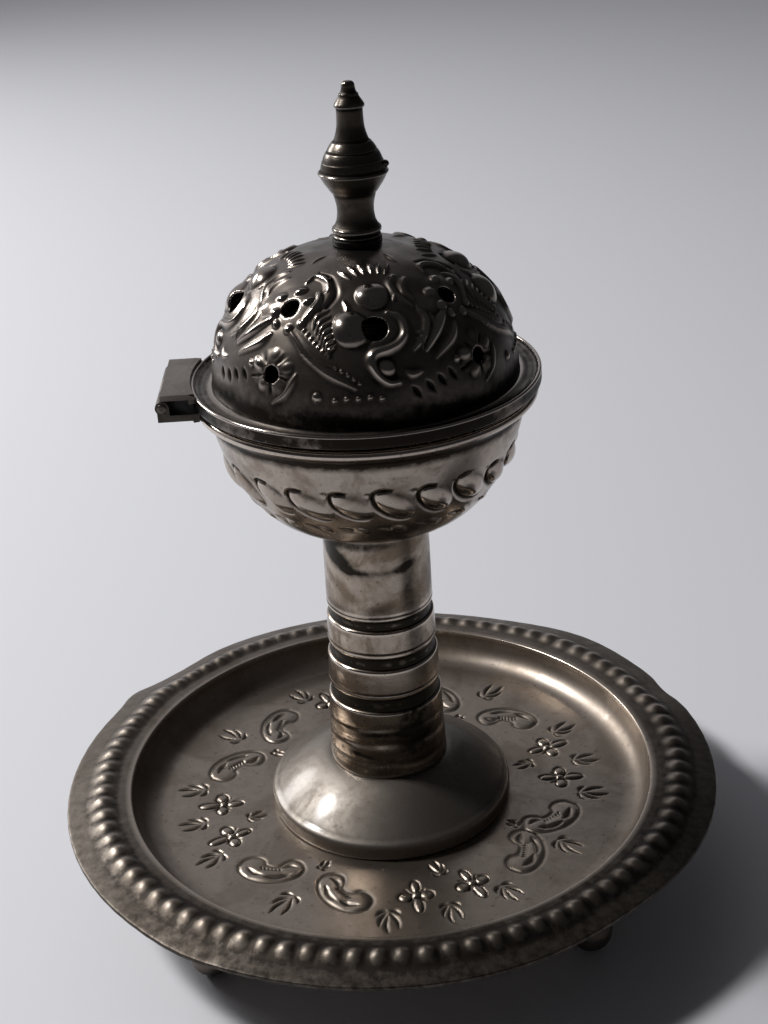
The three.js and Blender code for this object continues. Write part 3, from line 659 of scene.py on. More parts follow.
def make_stem():
    bottom, top = low("stem"), high("stem")
    length = top - bottom

    def at(height, depth=0.0, rounding=0.0):
        return float(stem_radius(height, length)) - depth, bottom + height, rounding

    corners = [at(0, 0, 0.3)]
    slope, line_depth = 0.42, 0.16
    for start, tall in GROOVES:
        end = start + tall
        corners += [at(start, 0, 0.35), at(start + slope, GROOVE_DEPTH, 0.4),
                    at(end - slope, GROOVE_DEPTH, 0.4), at(end, 0, 0.35),
                    at(end + 1.0, 0, 0.2), at(end + 1.25, line_depth, 0.1), at(end + 1.5, 0, 0.2)]
    corners += [at(length - STEM_STRAIGHT), at(length - 1.2, 0, 0.5), at(length, 0.9, 0.5),
                (STEM_OPENING, top, 0.3), (STEM_OPENING, top - STEM_WALL, 0.3),
                at(length - STEM_WALL, STEM_WALL, 0.5), at(length - STEM_STRAIGHT, STEM_WALL),
                at(0, STEM_WALL, 0.3)]

    def shape(r, z, angle):
        height = z - bottom
        outer_skin = r > stem_radius(height, length) - GROOVE_DEPTH - 0.3
        # Soot sits in the grooves, in patches, and the tube is darker towards the foot
        relief = -0.12 * outer_skin * np.clip((30 - height) / 22, 0, 1)
        for start, tall in GROOVES:
            within = (height > start + 0.35) & (height < start + tall - 0.3)
            patchy = 0.58 + 0.09 * np.sin(5 * angle + start) + 0.07 * np.sin(13 * angle + 0.9 * z)
            relief -= patchy * (within & outer_skin)
        degrees = np.degrees(angle) % 360
        # Painted highlights lighten the tube, and soot with painted shade darkens it
        relief += outer_skin * (marks(degrees, height, PAINTED_HIGHLIGHTS) - marks(degrees, height, SOOT_AND_PAINTED_SHADE))
        # Worn by handling: the tube is a touch out of round, with shallow rings
        wave = 0.05 * np.cos(3 * angle + z * 0.05) + 0.04 * np.cos(5 * angle - z * 0.11)
        wander = 0.35 * np.sin(3 * angle + 0.6) + 0.2 * np.sin(7 * angle)
        worn = outer_skin * dents(height - wander, STEM_DENTS)
        return r - (r > STEM_OPENING + 3) * (0.09 - wave) - worn, z, relief

    return lathed("stem_tube", corners, 256, 0.5, shape=shape)


# Bowl
# Radius at which the beaten band is drawn, and depths of its ovals and of the leaves below them
GADROON_RADIUS = 36.0
GADROON_DEPTH = 14.5
LEAF_DEPTH = 23.5


def bowl_radius(depth):
    """Radius of the bowl at a depth under its mouth"""
    share = np.clip(np.asarray(depth, float) / BOWL_DEPTH, 0, 1)
    return BOWL_RADIUS * (1 - share ** BOWL_FULLNESS) ** (1 / BOWL_ROUNDNESS)


def gadroons(x, y, middle, lower):
    """Heights of the beaten band: slanted ovals in outline, with a line above and a small leaf below each"""
    heights = np.zeros_like(x)
    chart = Relief(x, y, heights)
    for k in range(-1, GADROONS + 1):
        cx = k * GADROON_RADIUS * TAU / GADROONS
        cy = middle + 0.25 * math.sin(2.4 * k)
        lean = -36 + 5 * math.sin(1.3 * k + 0.5)
        size = 1 + 0.07 * math.sin(3.1 * k)
        chart.boss(cx, cy, 5.9 * size, 3.1, lean, 1.15, 1.0)
        chart.stroke(ring_of(cx, cy, 6.1 * size, 125, 340, 0.57, lean, 24), 0.55, -0.6, ends=0.35)
        above = [(cx + 3.6, middle + 4.0), (cx + 5.2, middle + 3.4), (cx + 6.2, middle + 2.0)]
        chart.stroke(smooth_curve(above), 0.7, -0.22, ends=0.3)
        below = [(cx - 4.4, lower + 3.0), (cx - 1.2, lower + 2.2), (cx + 2.2, lower - 0.6)]
        chart.stroke(smooth_curve(below), 0.6, -0.3, ends=0.3)
        chart.boss(cx + 1.6, lower + 1.9, 2.4, 1.3, -35, 0.35, 0.9)
    return heights


def make_bowl():
    """The bowl, with its beaten band and its rolled rim"""
    flat, bead, rim = 9.0, 1.1, 40.0
    floor = BOWL_BOTTOM + 1.26
    neck, band_bottom, row_step = 2.56, 29.2, 0.26
    bottom_rows = BOWL_DEPTH * (1 - 0.075 * np.linspace(0.012, 1, 12) ** 2)
    depths = [*bottom_rows, *np.arange(band_bottom, neck, -row_step)]
    start = [(BOLT_BORE, BOWL_BOTTOM), (6.0, BOWL_BOTTOM), (flat, BOWL_BOTTOM)]
    outer = [(float(bowl_radius(d)), BOWL_MOUTH - d) for d in depths if bowl_radius(d) > flat + 0.4]
    curl = arc(rim - bead, BOWL_MOUTH + 0.3 * bead, bead, np.radians(np.linspace(-75, 165, 22)))
    inner = [(float(bowl_radius(d)) - SHEET, BOWL_MOUTH - d) for d in np.arange(1.2, BOWL_DEPTH - 1.6, 0.6)]
    end = [(flat + 2, floor + 0.2), (flat, floor), (6.0, floor), (BOLT_BORE, floor)]
    outline = np.array([*start, *outer, *curl, *inner, *end])
    band = slice(len(start), len(start) + len(outer))
    band_r, band_z = outline[band].T
    along = travelled(outline[band])
    nr, nz = np.gradient(band_z, along)[:, None], -np.gradient(band_r, along)[:, None]
    middle, lower = (np.interp(BOWL_MOUTH - depth, band_z, along) for depth in (GADROON_DEPTH, LEAF_DEPTH))

    def shape(r, z, angle):
        x = angle[band] * GADROON_RADIUS
        y = np.broadcast_to(along[:, None], x.shape)
        heights = gadroons(x, y, middle, lower)
        r, z = r.copy(), z.copy()
        r[band] += heights * nr
        z[band] += heights * nz
        relief = np.zeros_like(r)
        relief[band] = 3.0 * local_relief(heights, 4, 4)
        # Tarnish stays under the rolled rim; the bowl's lower part is darkened as painted shade, where it
        # faces down towards the tray
        relief[band] -= 0.7 * np.clip((4.9 - (BOWL_MOUTH - z[band])) / 1.6, 0, 1)
        relief[band] -= 0.7 * np.clip((8.5 - y) / 6.0, 0, 1)
        return r, z, relief

    return turned("bowl_spun", outline, GADROONS * 32, shape=shape)


def make_seat_ring():
    """The ring in the bowl's mouth, which reaches the bowl across the gap that solder fills"""
    bottom, top = low("lid_seat_ring"), high("lid_seat_ring")
    outside, wall = high("lid_seat_ring", 0) + SOLDER_GAP, 0.9
    inside = outside - (wall + SOLDER_GAP)
    corners = [(inside, bottom, 0.2), (outside, bottom, 0.2), (outside, top, 0.25), (inside, top, 0.25)]
    return lathed("seat_ring_band", corners, 192, 1.0, 3)


# Lid rim
def make_lid_rim():
    """The ring under the dome, with a trough and a lip that turns down"""
    outside = high("lid_rim", 0)
    ledge = DOME_BASE - 0.1
    ledge_bottom, crown = low("lid_rim"), high("lid_rim")
    lip_bottom = crown - 3.0
    inside, trough = DOME_RADIUS - 1.3, DOME_RADIUS + 1.3
    corners = [
        (inside, ledge, 0.1), (DOME_RADIUS - 0.02, ledge, 0.02), (DOME_RADIUS + 0.04, ledge + 0.6, 0.15),
        (DOME_RADIUS + 0.7, ledge + 0.62, 0.5), (DOME_RADIUS + 1.7, ledge + 0.18, 0.8),
        (outside - 2.0, ledge + 0.26, 0.7), (outside - 1.15, crown - 0.62, 0.3),
        (outside - 1.0, crown - 0.68, 0.1), (outside - 0.78, crown - 0.12, 0.2), (outside - 0.4, crown, 0.2),
        (outside - 0.05, crown - 0.25, 0.2), (outside, crown - 0.8, 0.3), (outside, lip_bottom, 0.2),
        (outside - SHEET, lip_bottom, 0.2), (outside - SHEET, crown - 1.6, 0.4),
        (outside - 1.6, crown - 1.6, 0.4), (trough, ledge_bottom, 0.3), (inside, ledge_bottom, 0.1),
    ]

    def shape(r, z, angle):
        # Tarnish stays lightly in the trough, where nothing rubs; the lip's side is darkened as painted
        # shade, a dark reflection painted on the face that turns down
        patchy = 1 + 0.3 * np.sin(4 * angle + 1) + 0.2 * np.sin(11 * angle)
        relief = -0.03 * patchy * ((r > DOME_RADIUS + 1.2) & (r < outside - 1.2) & (z > ledge))
        relief -= 0.8 * patchy * ((r > outside - 0.03) & (z < crown - 0.6))
        return r, z, relief

    return lathed("lid_rim_spun", corners, 384, 0.3, shape=shape)


# Dome
DOME_COLUMNS = 896
DOME_ROWS = 196
SPOKE_START = -85.0
SPOKE_CROWDING = 5.0
# Radius of each hole, and its height above the dome's base
BIG_HOLE = (2.9, 20.4)
UPPER_HOLE = (2.2, 23.3)
LOWER_HOLE = (2.0, 11.2)


def dome_radius(height):
    """Radius of the dome at a height above its base"""
    share = np.clip(np.asarray(height, float) / DOME_HEIGHT, 0, 1)
    return DOME_RADIUS * (1 - share ** DOME_FULLNESS) ** (1 / DOME_ROUNDNESS)


def dome_profile():
    """Rows of the dome from its base to the screw's hole: radius, height, and length along the curve"""
    fine_h = DOME_HEIGHT * (1 - np.linspace(1, 0, 3000) ** 2)
    fine_r = dome_radius(fine_h)
    length = travelled(np.stack([fine_r, fine_h], axis=-1))
    end = float(np.interp(-SCREW_BORE, -fine_r, length))
    rows = np.linspace(0, end, DOME_ROWS)
    return np.interp(rows, length, fine_r), np.interp(rows, length, fine_h), rows


def spoke_angle(i):
    """Direction of a spoke. They stand closer together on one side, as in the photograph."""
    return math.radians(SPOKE_START + 360 / SPOKES * i - SPOKE_CROWDING * math.sin(TAU * i / SPOKES))


# The beaten pattern of the dome, in mm to the right of a spoke and along the sheet above the dome's base:
# points, width and height of each ridge, or below 0 of each groove
SCROLL_LINES = (
    (((4.3, 31.1), (5.8, 28.5), (5.5, 26.0), (4.2, 23.2)), 0.85, 1.15),
    (((0.0, 33.6), (0.9, 35.6), (2.8, 35.5), (5.0, 33.9), (6.2, 31.7), (5.6, 30.6)), 0.6, 0.9),
    (((3.2, 35.0), (6.2, 32.4), (7.2, 29.5), (6.6, 26.8)), 1.4, 0.5),
    (((1.4, 37.2), (4.4, 36.0), (7.0, 33.0), (8.4, 30.4), (8.4, 28.0), (7.6, 26.3)), 0.55, -0.55),
    (((1.6, 34.2), (3.0, 32.9), (4.4, 31.6)), 0.75, -0.55),
    (((-1.9, 34.2), (-4.4, 33.1), (-6.8, 31.8), (-8.2, 30.4)), 0.55, -0.55),
    (((-2.6, 36.6), (-5.0, 35.6), (-7.6, 33.8)), 0.45, -0.4),
    (((-7.0, 35.2), (-9.8, 32.8), (-11.0, 30.1), (-10.5, 28.0), (-9.4, 25.8)), 0.65, 0.75),
    (((-5.6, 33.8), (-8.0, 31.6), (-8.9, 29.4), (-8.3, 27.4)), 0.6, 0.65),
    (((-1.5, 28.5), (-5.0, 26.0), (-8.0, 24.2)), 1.7, 0.75),
    (((-2.5, 24.2), (-5.5, 21.6), (-9.0, 18.5), (-12.3, 15.9)), 0.8, 1.0),
    (((-3.1, 22.1), (-6.7, 18.1), (-12.6, 13.9)), 0.9, -0.45),
    (((-2.7, 20.2), (-5.4, 17.2), (-10.7, 13.8)), 0.65, 0.75),
    (((3.0, 21.0), (6.5, 18.5), (10.5, 16.2), (14.0, 14.8)), 1.0, 0.5),
    (((1.3, 21.8), (3.7, 19.6), (7.7, 16.2), (13.2, 13.0), (19.4, 9.5)), 0.65, 0.7),
    (((6.2, 11.9), (5.4, 10.2), (3.6, 7.4), (0.8, 5.5)), 0.55, 0.6),
    (((-7.6, 8.4), (-8.6, 10.9)), 0.5, -0.55),
    (((-10.6, 7.8), (-11.6, 10.2)), 0.5, -0.55),
    (((-13.6, 7.2), (-14.6, 9.6)), 0.5, -0.55),
    (((-17.0, 6.8), (-18.0, 9.0)), 0.5, -0.55),
    (((-2.7, 39.9), (-2.5, 41.8), (-1.9, 43.6)), 0.4, 0.45),
)
SCROLL_BOSSES = ((-2.0, 22.4, 1.2), (1.5, 21.6, 1.3), (4.2, 23.0, 1.3), (11.2, 7.8, 1.2), (-6.0, 12.6, 0.9))
SCROLL_DOTS = (((3.7, 22.8), (5.8, 21.1), (7.4, 19.9), (10.3, 17.9), (13.0, 16.8)),
               ((5.8, 16.9), (7.6, 15.7), (9.0, 14.9), (10.5, 14.0), (13.1, 13.3)))
ROSE_LINES = (
    (((3.2, 25.6), (5.6, 24.0), (6.2, 20.8), (5.1, 18.8), (2.9, 17.7), (-0.3, 16.6), (-1.2, 14.6),
      (-0.2, 12.0), (1.8, 10.4), (3.8, 10.4)), 0.85, 1.25),
    (((4.6, 31.1), (5.6, 29.9), (5.0, 28.3)), 0.5, 0.6),
    (((7.4, 32.2), (7.4, 30.2), (8.6, 28.2)), 0.5, 0.6),
    (((-5.6, 29.0), (-5.0, 27.2), (-5.6, 25.9)), 0.45, 0.5),
    (((10.0, 25.4), (11.4, 22.4), (10.6, 18.8), (8.2, 16.6)), 0.75, 0.8),
    (((12.0, 24.4), (13.2, 21.4), (12.6, 18.6)), 0.5, 0.5),
    (((5.6, 12.6), (7.0, 11.4), (9.2, 11.6)), 0.5, 0.5),
)
ROSE_BOSSES = ((0.5, 30.2, 4.1), (-5.1, 22.2, 4.6), (1.6, 13.6, 2.3))


def flowing(points):
    return smooth_curve(points, 5)


def small_hole(chart, cy, hole, petals):
    """A raised ring and petals round a small hole, with a sunk line between each two"""
    chart.boss(0, cy, hole + 3.4, height=0.5, fullness=1.3)
    for k in range(petals):
        direction = 90 + 360 / petals * k
        px, py = polar(hole + 1.5 + 0.3 * math.sin(2.3 * k), direction, 0, cy)
        chart.boss(px, py, 2.1, 1.6, direction, 0.5 + 0.25 * math.sin(1.7 * k + cy), 0.9)
        between = [polar(hole + out, direction + 180 / petals, 0, cy) for out in (0.3, 3.8)]
        chart.stroke(between, 0.42, -0.35, ends=0.5)


def scrolls(chart):
    """The two small holes of a spoke, with a crook, a curled leaf and rows of dots"""
    chart.boss(0.5, 27.0, 6.2, 5.0, -20, 0.45, 1.2)
    small_hole(chart, 11.9, LOWER_HOLE[0], 5)
    for px, py, size in ((-3.6, 28.2, 2.0), (-3.2, 24.6, 1.8), (0.2, 30.7, 1.7), (3.5, 28.4, 1.6)):
        chart.boss(px, py, size, 0.85 * size, 30, 0.95, 1.0)
    for points, width, height in SCROLL_LINES:
        chart.stroke(flowing(points), 1.25 * width, 0.78 * height, ends=0.35)
    for px, py, size in SCROLL_BOSSES:
        chart.boss(px, py, size, height=0.55, fullness=1.0)
    for points in SCROLL_DOTS:
        chart.dots(flowing(points), 1.35, 0.5, 0.4)


def rose(chart):
    """The large hole of a spoke between three bosses, with an S-shaped ridge, rays and feathers"""
    chart.boss(0.4, 21.2, 5.4, height=0.5, fullness=1.2)
    for px, py, size in ROSE_BOSSES:
        chart.boss(px, py, size, height=0.9 if size < 3 else 1.5, fullness=1.1)
        chart.stroke(ring_of(px, py, size + 0.2, 0, 360), 0.7, -0.3)
    for points, width, height in ROSE_LINES:
        chart.stroke(flowing(points), 1.25 * width, 0.8 * height, ends=0.35)
    for direction in (131, 114, 101, 88, 76, 64):
        chart.stroke([polar(out, direction, 0.8, 30.1) for out in (7.0, 10.4)], 0.4, 0.5, ends=0.4)
    for side in (-1, 1):
        for k in range(7):
            start = (13.4 - 0.55 * k, 22.4 - 1.05 * k)
            end = (9.2 - 0.1 * k, 26.8 - 1.35 * k)
            bow = ((start[0] + end[0]) / 2 + 0.7, (start[1] + end[1]) / 2 + 0.6)
            if side < 0 or k > 4:
                chart.stroke(flowing([(side * x, y) for x, y in (start, bow, end)]), 0.36, 0.5, ends=0.35)
    for k in range(5):
        chart.boss(-10 + 2.5 * k, 7.3 + 0.2 * (k % 2), 0.6, height=0.45)
    chart.dots(flowing(((-9.6, 14.6), (-6.6, 12.4), (-3.8, 9.8))), 1.45, 0.45, 0.3)


def dome_ornament(angle, radius, length):
    """Heights of the beaten ornament over the dome's grid"""
    heights = np.zeros_like(angle)
    for i in range(SPOKES):
        x = ((angle - spoke_angle(i) + math.pi) % TAU - math.pi) * radius
        y = np.broadcast_to(length, angle.shape)
        # Beaten by hand: every stroke wavers a little, and each spoke a little differently
        chart = Relief(x + 0.2 * np.sin(0.5 * y + 2 * i), y + 0.2 * np.sin(0.45 * x + 3 * i), heights)
        draw = scrolls if i % 2 else rose
        draw(chart)
    return heights


def pierce(points, faces, centre, normal, radius):
    """Cuts a round hole through the near side of a sheet of quads, and draws the edge onto the circle"""
    offset = points - centre
    depth = offset @ normal
    flat = offset - depth[:, None] * normal
    distance = np.linalg.norm(flat, axis=1)
    near = 4
    distance[np.abs(depth) > near] = np.inf
    keep = ~(distance[faces] < radius).any(axis=1)
    dropped = np.unique(faces[~keep])
    edge = np.intersect1d(dropped, np.unique(faces[keep]))
    pull = radius / distance[edge]
    points[edge] = centre + depth[edge][:, None] * normal + flat[edge] * pull[:, None]
    return faces[keep]


def make_dome():
    """The beaten and pierced dome, as one sheet that is then given its thickness"""
    radius, height, length = (column[:, None] for column in dome_profile())
    angle = np.broadcast_to(np.arange(DOME_COLUMNS) * TAU / DOME_COLUMNS, (DOME_ROWS, DOME_COLUMNS))
    rough = 0.09 * np.sin(9 * angle + 3 * np.sin(length / 5)) * np.sin(length / 3.1 + 1)
    fade = np.clip(length / 2.0, 0, 1) * np.clip((radius - 6.5) / 1.5, 0, 1)
    heights = (dome_ornament(angle, radius, length) + rough) * fade
    dr, dh = (np.gradient(values[:, 0], length[:, 0])[:, None] for values in (radius, height))
    points = swept(radius + heights * dh, DOME_BASE + height - heights * dr, angle)
    faces = grid_faces(DOME_ROWS, DOME_COLUMNS)
    for k in range(SPOKES):
        a = spoke_angle(k)
        for hole, at in ([UPPER_HOLE, LOWER_HOLE] if k % 2 else [BIG_HOLE]):
            upward = math.atan(dome_radius(at - 0.5) - dome_radius(at + 0.5))
            normal = swept(math.cos(upward), math.sin(upward), a)[0]
            centre = swept(dome_radius(at), DOME_BASE + at, a)[0]
            faces = pierce(points, faces, centre, normal, hole)
    relief = 1.7 * local_relief(heights, 5, 5) + 0.4 * (heights - 0.3)
    # The dome is darker towards its rim, and more so just above it
    relief -= 0.2 * np.clip((20 - length) / 10, 0, 1) + 0.25 * np.clip((6.5 - length) / 4, 0, 1)
    relief = relief.ravel()
    used = np.unique(faces)
    renumber = np.full(len(points), -1)
    renumber[used] = np.arange(len(used))
    dome = mesh_object("dome_pierced", points[used], renumber[faces].tolist(), 60,
                       ridge=np.clip(relief[used], 0, 1), groove=np.clip(-relief[used], 0, 1))
    return modified(dome, "SOLIDIFY", thickness=SHEET * MM, offset=-1, use_even_offset=False)


# Finial
def make_finial():
    """The turned knob, with a small pip on its bulb. Its corners are in mm above its underside."""
    bottom, tall = low("finial"), high("finial") - low("finial")
    bulb, bulb_at = 7.8, 15.2
    corners = [
        (0, 12.0), (SCREW_BORE, 12.0, 0.1), (SCREW_BORE, 0, 0.1), (5.6, 0, 0.15), (5.6, 1.3, 0.2),
        (5.1, 1.5, 0.1), (5.5, 1.8, 0.3), (5.1, 2.2, 0.1), (5.0, 2.45, 0.1), (5.6, 2.8, 0.3),
        (5.55, 3.6, 0.3), (5.0, 4.0, 0.3), (4.4, 5.1, 0.7), (4.12, 6.8, 1.2), (4.1, 8.4, 1.0),
        (4.45, 9.9, 1.0), (4.75, 11.2, 0.5), (5.35, 11.85, 0.25), (5.75, 12.5, 0.3), (6.5, 13.5, 0.8),
        (7.25, 14.9, 0.5), (7.6, 15.6, 0.06), (bulb, bulb_at + 0.5, 0.05), (bulb, bulb_at + 0.8, 0.08),
        (7.5, bulb_at + 1.1, 0.15), (7.25, 16.4, 0.05), (7.2, 16.6, 0.05),
        (7.05, 17.4, 0.4), (6.8, 18.3, 0.15), (6.6, 18.4, 0.05), (6.6, 18.6, 0.15), (6.3, 19.5, 0.5),
        (5.8, 20.4, 0.2), (5.4, 20.6, 0.05), (5.5, 20.85, 0.15), (5.0, 21.7, 0.5), (4.3, 22.6, 0.3),
        (3.9, 22.75, 0.1), (3.85, 22.95, 0.15), (3.4, 24.2, 0.9), (3.05, 25.6, 0.9), (2.95, 27.4, 0.9),
        (2.9, 29.2, 0.3), (2.95, 29.75, 0.1), (3.35, 29.95, 0.08), (3.35, 30.4, 0.2), (2.8, 31.3, 0.5),
        (2.2, 32.2, 0.3), (2.15, 32.7, 0.1), (1.75, 33.0, 0.2), (1.5, 33.8, 0.4), (1.45, tall - 0.6, 0.5),
        (0.9, tall, 0.4), (0, tall),
    ]
    corners = [(r, bottom + z, *rounding) for r, z, *rounding in corners]

    def shape(r, z, angle):
        # Tarnish stays on the side of the base
        return r, z, -0.7 * ((z < bottom + 1.5) & (r > 5.2))

    finial = lathed("finial_cast", corners, 128, 0.4, closed=False, shape=shape)
    pip_radius, flatness = 0.95, 0.85
    pip_outline = np.array(arc(0, 0, pip_radius, np.radians(np.linspace(-90, 90, 10)))) * (1, flatness)
    pip = turned("pip", pip_outline, 24, closed=False)
    pip.data.transform(Matrix.Translation(Vector((7.0, -1.2, bottom + bulb_at + 2.3)) * MM))
    return combine(finial, pip, "UNION")


# Hinge
HINGE_HALF = 12.0
KNUCKLE = 1.6
MIDDLE_HALF = 3.9
END_FROM = 4.1
PIN_BORE = 0.9
BOWL_LEAF_SEAT = 39.9


def leaf_outline(seat, outer_x):
    """A leaf's plate: straight outside, and curved inside to a rim of radius seat"""
    reach = math.asin(HINGE_HALF / seat)
    sweep = np.linspace(math.pi + reach, math.pi - reach, 24)
    return [(outer_x, HINGE_HALF), (outer_x, -HINGE_HALF), *arc(0, 0, seat, sweep)]


def band_outline(seat, width):
    """A band that lies on a rim of radius seat"""
    reach = math.asin(HINGE_HALF / (seat + width))
    sweep = np.linspace(math.pi - reach, math.pi + reach, 24)
    return arc(0, 0, seat + width, sweep) + arc(0, 0, seat, sweep[::-1])


def barrel(name, side, overhang, start, end):
    """A knuckle: round about the pin, with a web up or down to its plate"""
    web = PIN_Z + side * (KNUCKLE + 0.55)
    begin = math.acos(-overhang / KNUCKLE)
    sweep = side * np.linspace(0, begin - TAU, 28)
    outline = [(PIN_X - overhang, web), (PIN_X + KNUCKLE, web), *arc(PIN_X, PIN_Z, KNUCKLE, sweep)]
    return prism(name, outline, start, end, upright=False)


def pin_hole():
    outline = arc(PIN_X, PIN_Z, PIN_BORE, np.arange(32) * TAU / 32)
    return prism("hole", outline, -HINGE_HALF - 1, HINGE_HALF + 1, upright=False)


def make_leaf(name, seat, outer_x, plate, band, knuckles, over=0.0):
    """A hinge leaf. Its plate may lie over the rim that it is soldered to, and is filed down to it there."""
    leaf = prism(name, leaf_outline(seat - over, outer_x), *plate)
    if over:
        level = plate[1]
        ring = [(seat - over - 2, level + 1), (seat + 1.9, level + 1), (seat + 1.4, level, 0.5),
                (seat - over, plate[0] + 0.05), (seat - over - 2, plate[0])]
        combine(leaf, turned("filing", rounded(ring), 256), "DIFFERENCE")
    combine(leaf, prism("band", band_outline(seat, 1.4), *band), "UNION")
    for side, overhang, start, end in knuckles:
        combine(leaf, barrel("knuckle", side, overhang, start, end), "UNION")
    combine(leaf, pin_hole(), "DIFFERENCE")
    return bevelled(leaf, 0.16)


def make_lid_leaf():
    top = high("lid_hinge_leaf")
    seat = high("lid_rim", 0) - 0.1
    plate, band = (top - 1.3, top), (top - 2.4, top)
    knuckles = [(1, 0.2, -MIDDLE_HALF, MIDDLE_HALF)]
    return make_leaf("lid_leaf_plate", seat, PIN_X - 0.2, plate, band, knuckles, over=1.0)


def make_bowl_leaf():
    bottom, top = low("bowl_hinge_leaf") + 0.5, low("bowl_hinge_leaf") + 2.1
    plate, band = (bottom, top), (bottom - 0.5, top)
    knuckles = [(-1, 1.2, END_FROM, HINGE_HALF), (-1, 1.2, -HINGE_HALF, -END_FROM)]
    return make_leaf("bowl_leaf_plate", BOWL_LEAF_SEAT, PIN_X - 1.2, plate, band, knuckles)


def make_pin():
    """The hinge's pin, with a small rounded head at each end"""
    end, rod, head = high("hinge_pin", 1), 0.8, 1.13
    half = [(0, end), (0.7, end, 0.2), (head, end - 0.2, 0.2), (head, end - 0.4, 0.1), (rod, end - 0.4)]
    corners = [(r, -z, *rounding) for r, z, *rounding in half] + half[::-1]
    pin = lathed("hinge_pin_rod", corners, 40, 1.5, 3, closed=False)
    lying = Matrix.Rotation(-math.pi / 2, 4, "X")
    pin.data.transform(Matrix.Translation(Vector((PIN_X, 0, PIN_Z)) * MM) @ lying)
    return pin


# Fasteners
def make_washer(node, bore):
    bottom, top, outside = low(node), high(node), high(node, 0)
    corners = [(bore, bottom, 0.15), (outside, bottom, 0.25), (outside, top, 0.3), (bore, top, 0.15)]
    return lathed(f"{node}_flat", corners, 96, 0.8, 3)


def slotted(piece, centre_height, radius):
    """Cuts the driver's slot across a screw's head"""
    half_width, half_depth, reach = 0.5, 1.0, radius * 1.5
    outline = [(-half_width, -reach), (half_width, -reach), (half_width, reach), (-half_width, reach)]
    slot = prism("slot", outline, centre_height - half_depth, centre_height + half_depth)
    return combine(piece, slot, "DIFFERENCE")


def make_tie_bolt():
    bottom, top = low("tie_bolt"), high("tie_bolt")
    shank, head = 2.5, 5.0
    head_bottom = top - 2.8
    corners = [(0, bottom), (shank - 0.5, bottom, 0.1), (shank, bottom + 0.5, 0.1), (shank, head_bottom, 0.1),
               (head, head_bottom, 0.2), (head, head_bottom + 1.0, 0.6), (head * 0.8, top - 0.5, 1.2),
               (0, top)]
    return slotted(lathed("tie_bolt_turned", corners, 64, 1.0, closed=False), top - 0.2, head)


def make_finial_screw():
    bottom, top = low("finial_screw"), high("finial_screw")
    shank, head = 1.9, 3.4
    head_top = bottom + 2.2
    corners = [(0, bottom), (head * 0.75, bottom + 0.2, 0.6), (head, head_top - 1.1, 0.5),
               (head, head_top, 0.2), (shank, head_top, 0.1), (shank, top - 0.4, 0.1),
               (shank - 0.4, top, 0.1), (0, top)]
    return slotted(lathed("finial_screw_turned", corners, 64, 1.0, closed=False), bottom + 0.2, head)


def make_nut():
    bottom, top = low("tray_nut"), high("tray_nut")
    inner, bore_edge = 5.0, BOLT_BORE + 0.4
    corner = inner / math.cos(TAU / 12)
    corners = [(BOLT_BORE, bottom + 0.3, 0.1), (bore_edge, bottom, 0.1), (inner - 0.2, bottom, 0.1),
               (corner, bottom + 0.7, 0.2), (corner, top - 0.7, 0.2), (inner - 0.2, top, 0.1),
               (bore_edge, top, 0.1), (BOLT_BORE, top - 0.3, 0.1)]

    def shape(r, z, angle):
        # Six flats, with their corners turned off above and below
        sector = TAU / 6
        side = inner / np.cos((angle % sector) - sector / 2)
        return np.minimum(r, side), z, np.zeros_like(r)

    return lathed("tray_nut_hex", corners, 192, 0.5, 3, shape=shape, crease=25)


# Materials
# How fine the noise of each mark is, per metre
TORN_SCALE = 420.0
DENT_SCALE = 130.0
GRAIN_SCALE = 1900.0
LATHE_SCALE = 2600.0


class Nodes:
    """The shader nodes of a material or of the world"""

    def __init__(self, owner):
        owner.use_nodes = True
        self.tree = owner.node_tree
        self.tree.nodes.clear()

    def add(self, kind, inputs=None, **settings):
        """A node with its settings, and with its inputs linked or set"""
        made = self.tree.nodes.new("ShaderNode" + kind)
        for key, value in settings.items():
            setattr(made, key, value)
        for key, value in (inputs or {}).items():
            if isinstance(value, bpy.types.NodeSocket):
                self.tree.links.new(value, made.inputs[key])
            else:
                made.inputs[key].default_value = value
        return made

    def math(self, operation, a, b=0.0, clamp=False):
        return self.add("Math", {0: a, 1: b}, operation=operation, use_clamp=clamp).outputs[0]

    def times(self, a, b, clamp=False):
        return self.math("MULTIPLY", a, b, clamp)

    def plus(self, a, b):
        return self.math("ADD", a, b)

    def mixed(self, share, a, b):
        """The first colour, with a share of the second"""
        return self.add("Mix", {0: share, 6: a, 7: b}, data_type="RGBA").outputs[2]

    def noise(self, vector, scale, detail=4.0, roughness=0.55, distortion=0.0):
        looks = {"Vector": vector, "Scale": scale, "Detail": detail, "Roughness": roughness,
                 "Distortion": distortion}
        return self.add("TexNoise", looks).outputs["Fac"]

    def spread(self, value, start, end):
        """0 below start and 1 above end, smooth between"""
        levels = {0: value, 1: start, 2: end, 3: 0.0, 4: 1.0}
        return self.add("MapRange", levels, interpolation_type="SMOOTHSTEP").outputs[0]


def lathe_rings(nodes, place):
    """Rings of the lathe: noise that changes with the radius and the height, and hardly round the axis"""
    x, y, z = nodes.add("SeparateXYZ", {0: place}).outputs
    radius = nodes.math("SQRT", nodes.plus(nodes.times(x, x), nodes.times(y, y)))
    around = nodes.times(nodes.math("ARCTAN2", y, x), 0.0012)
    rings = nodes.add("CombineXYZ", {0: radius, 1: z, 2: around}).outputs[0]
    return nodes.noise(rings, LATHE_SCALE, 3.0, 0.7)


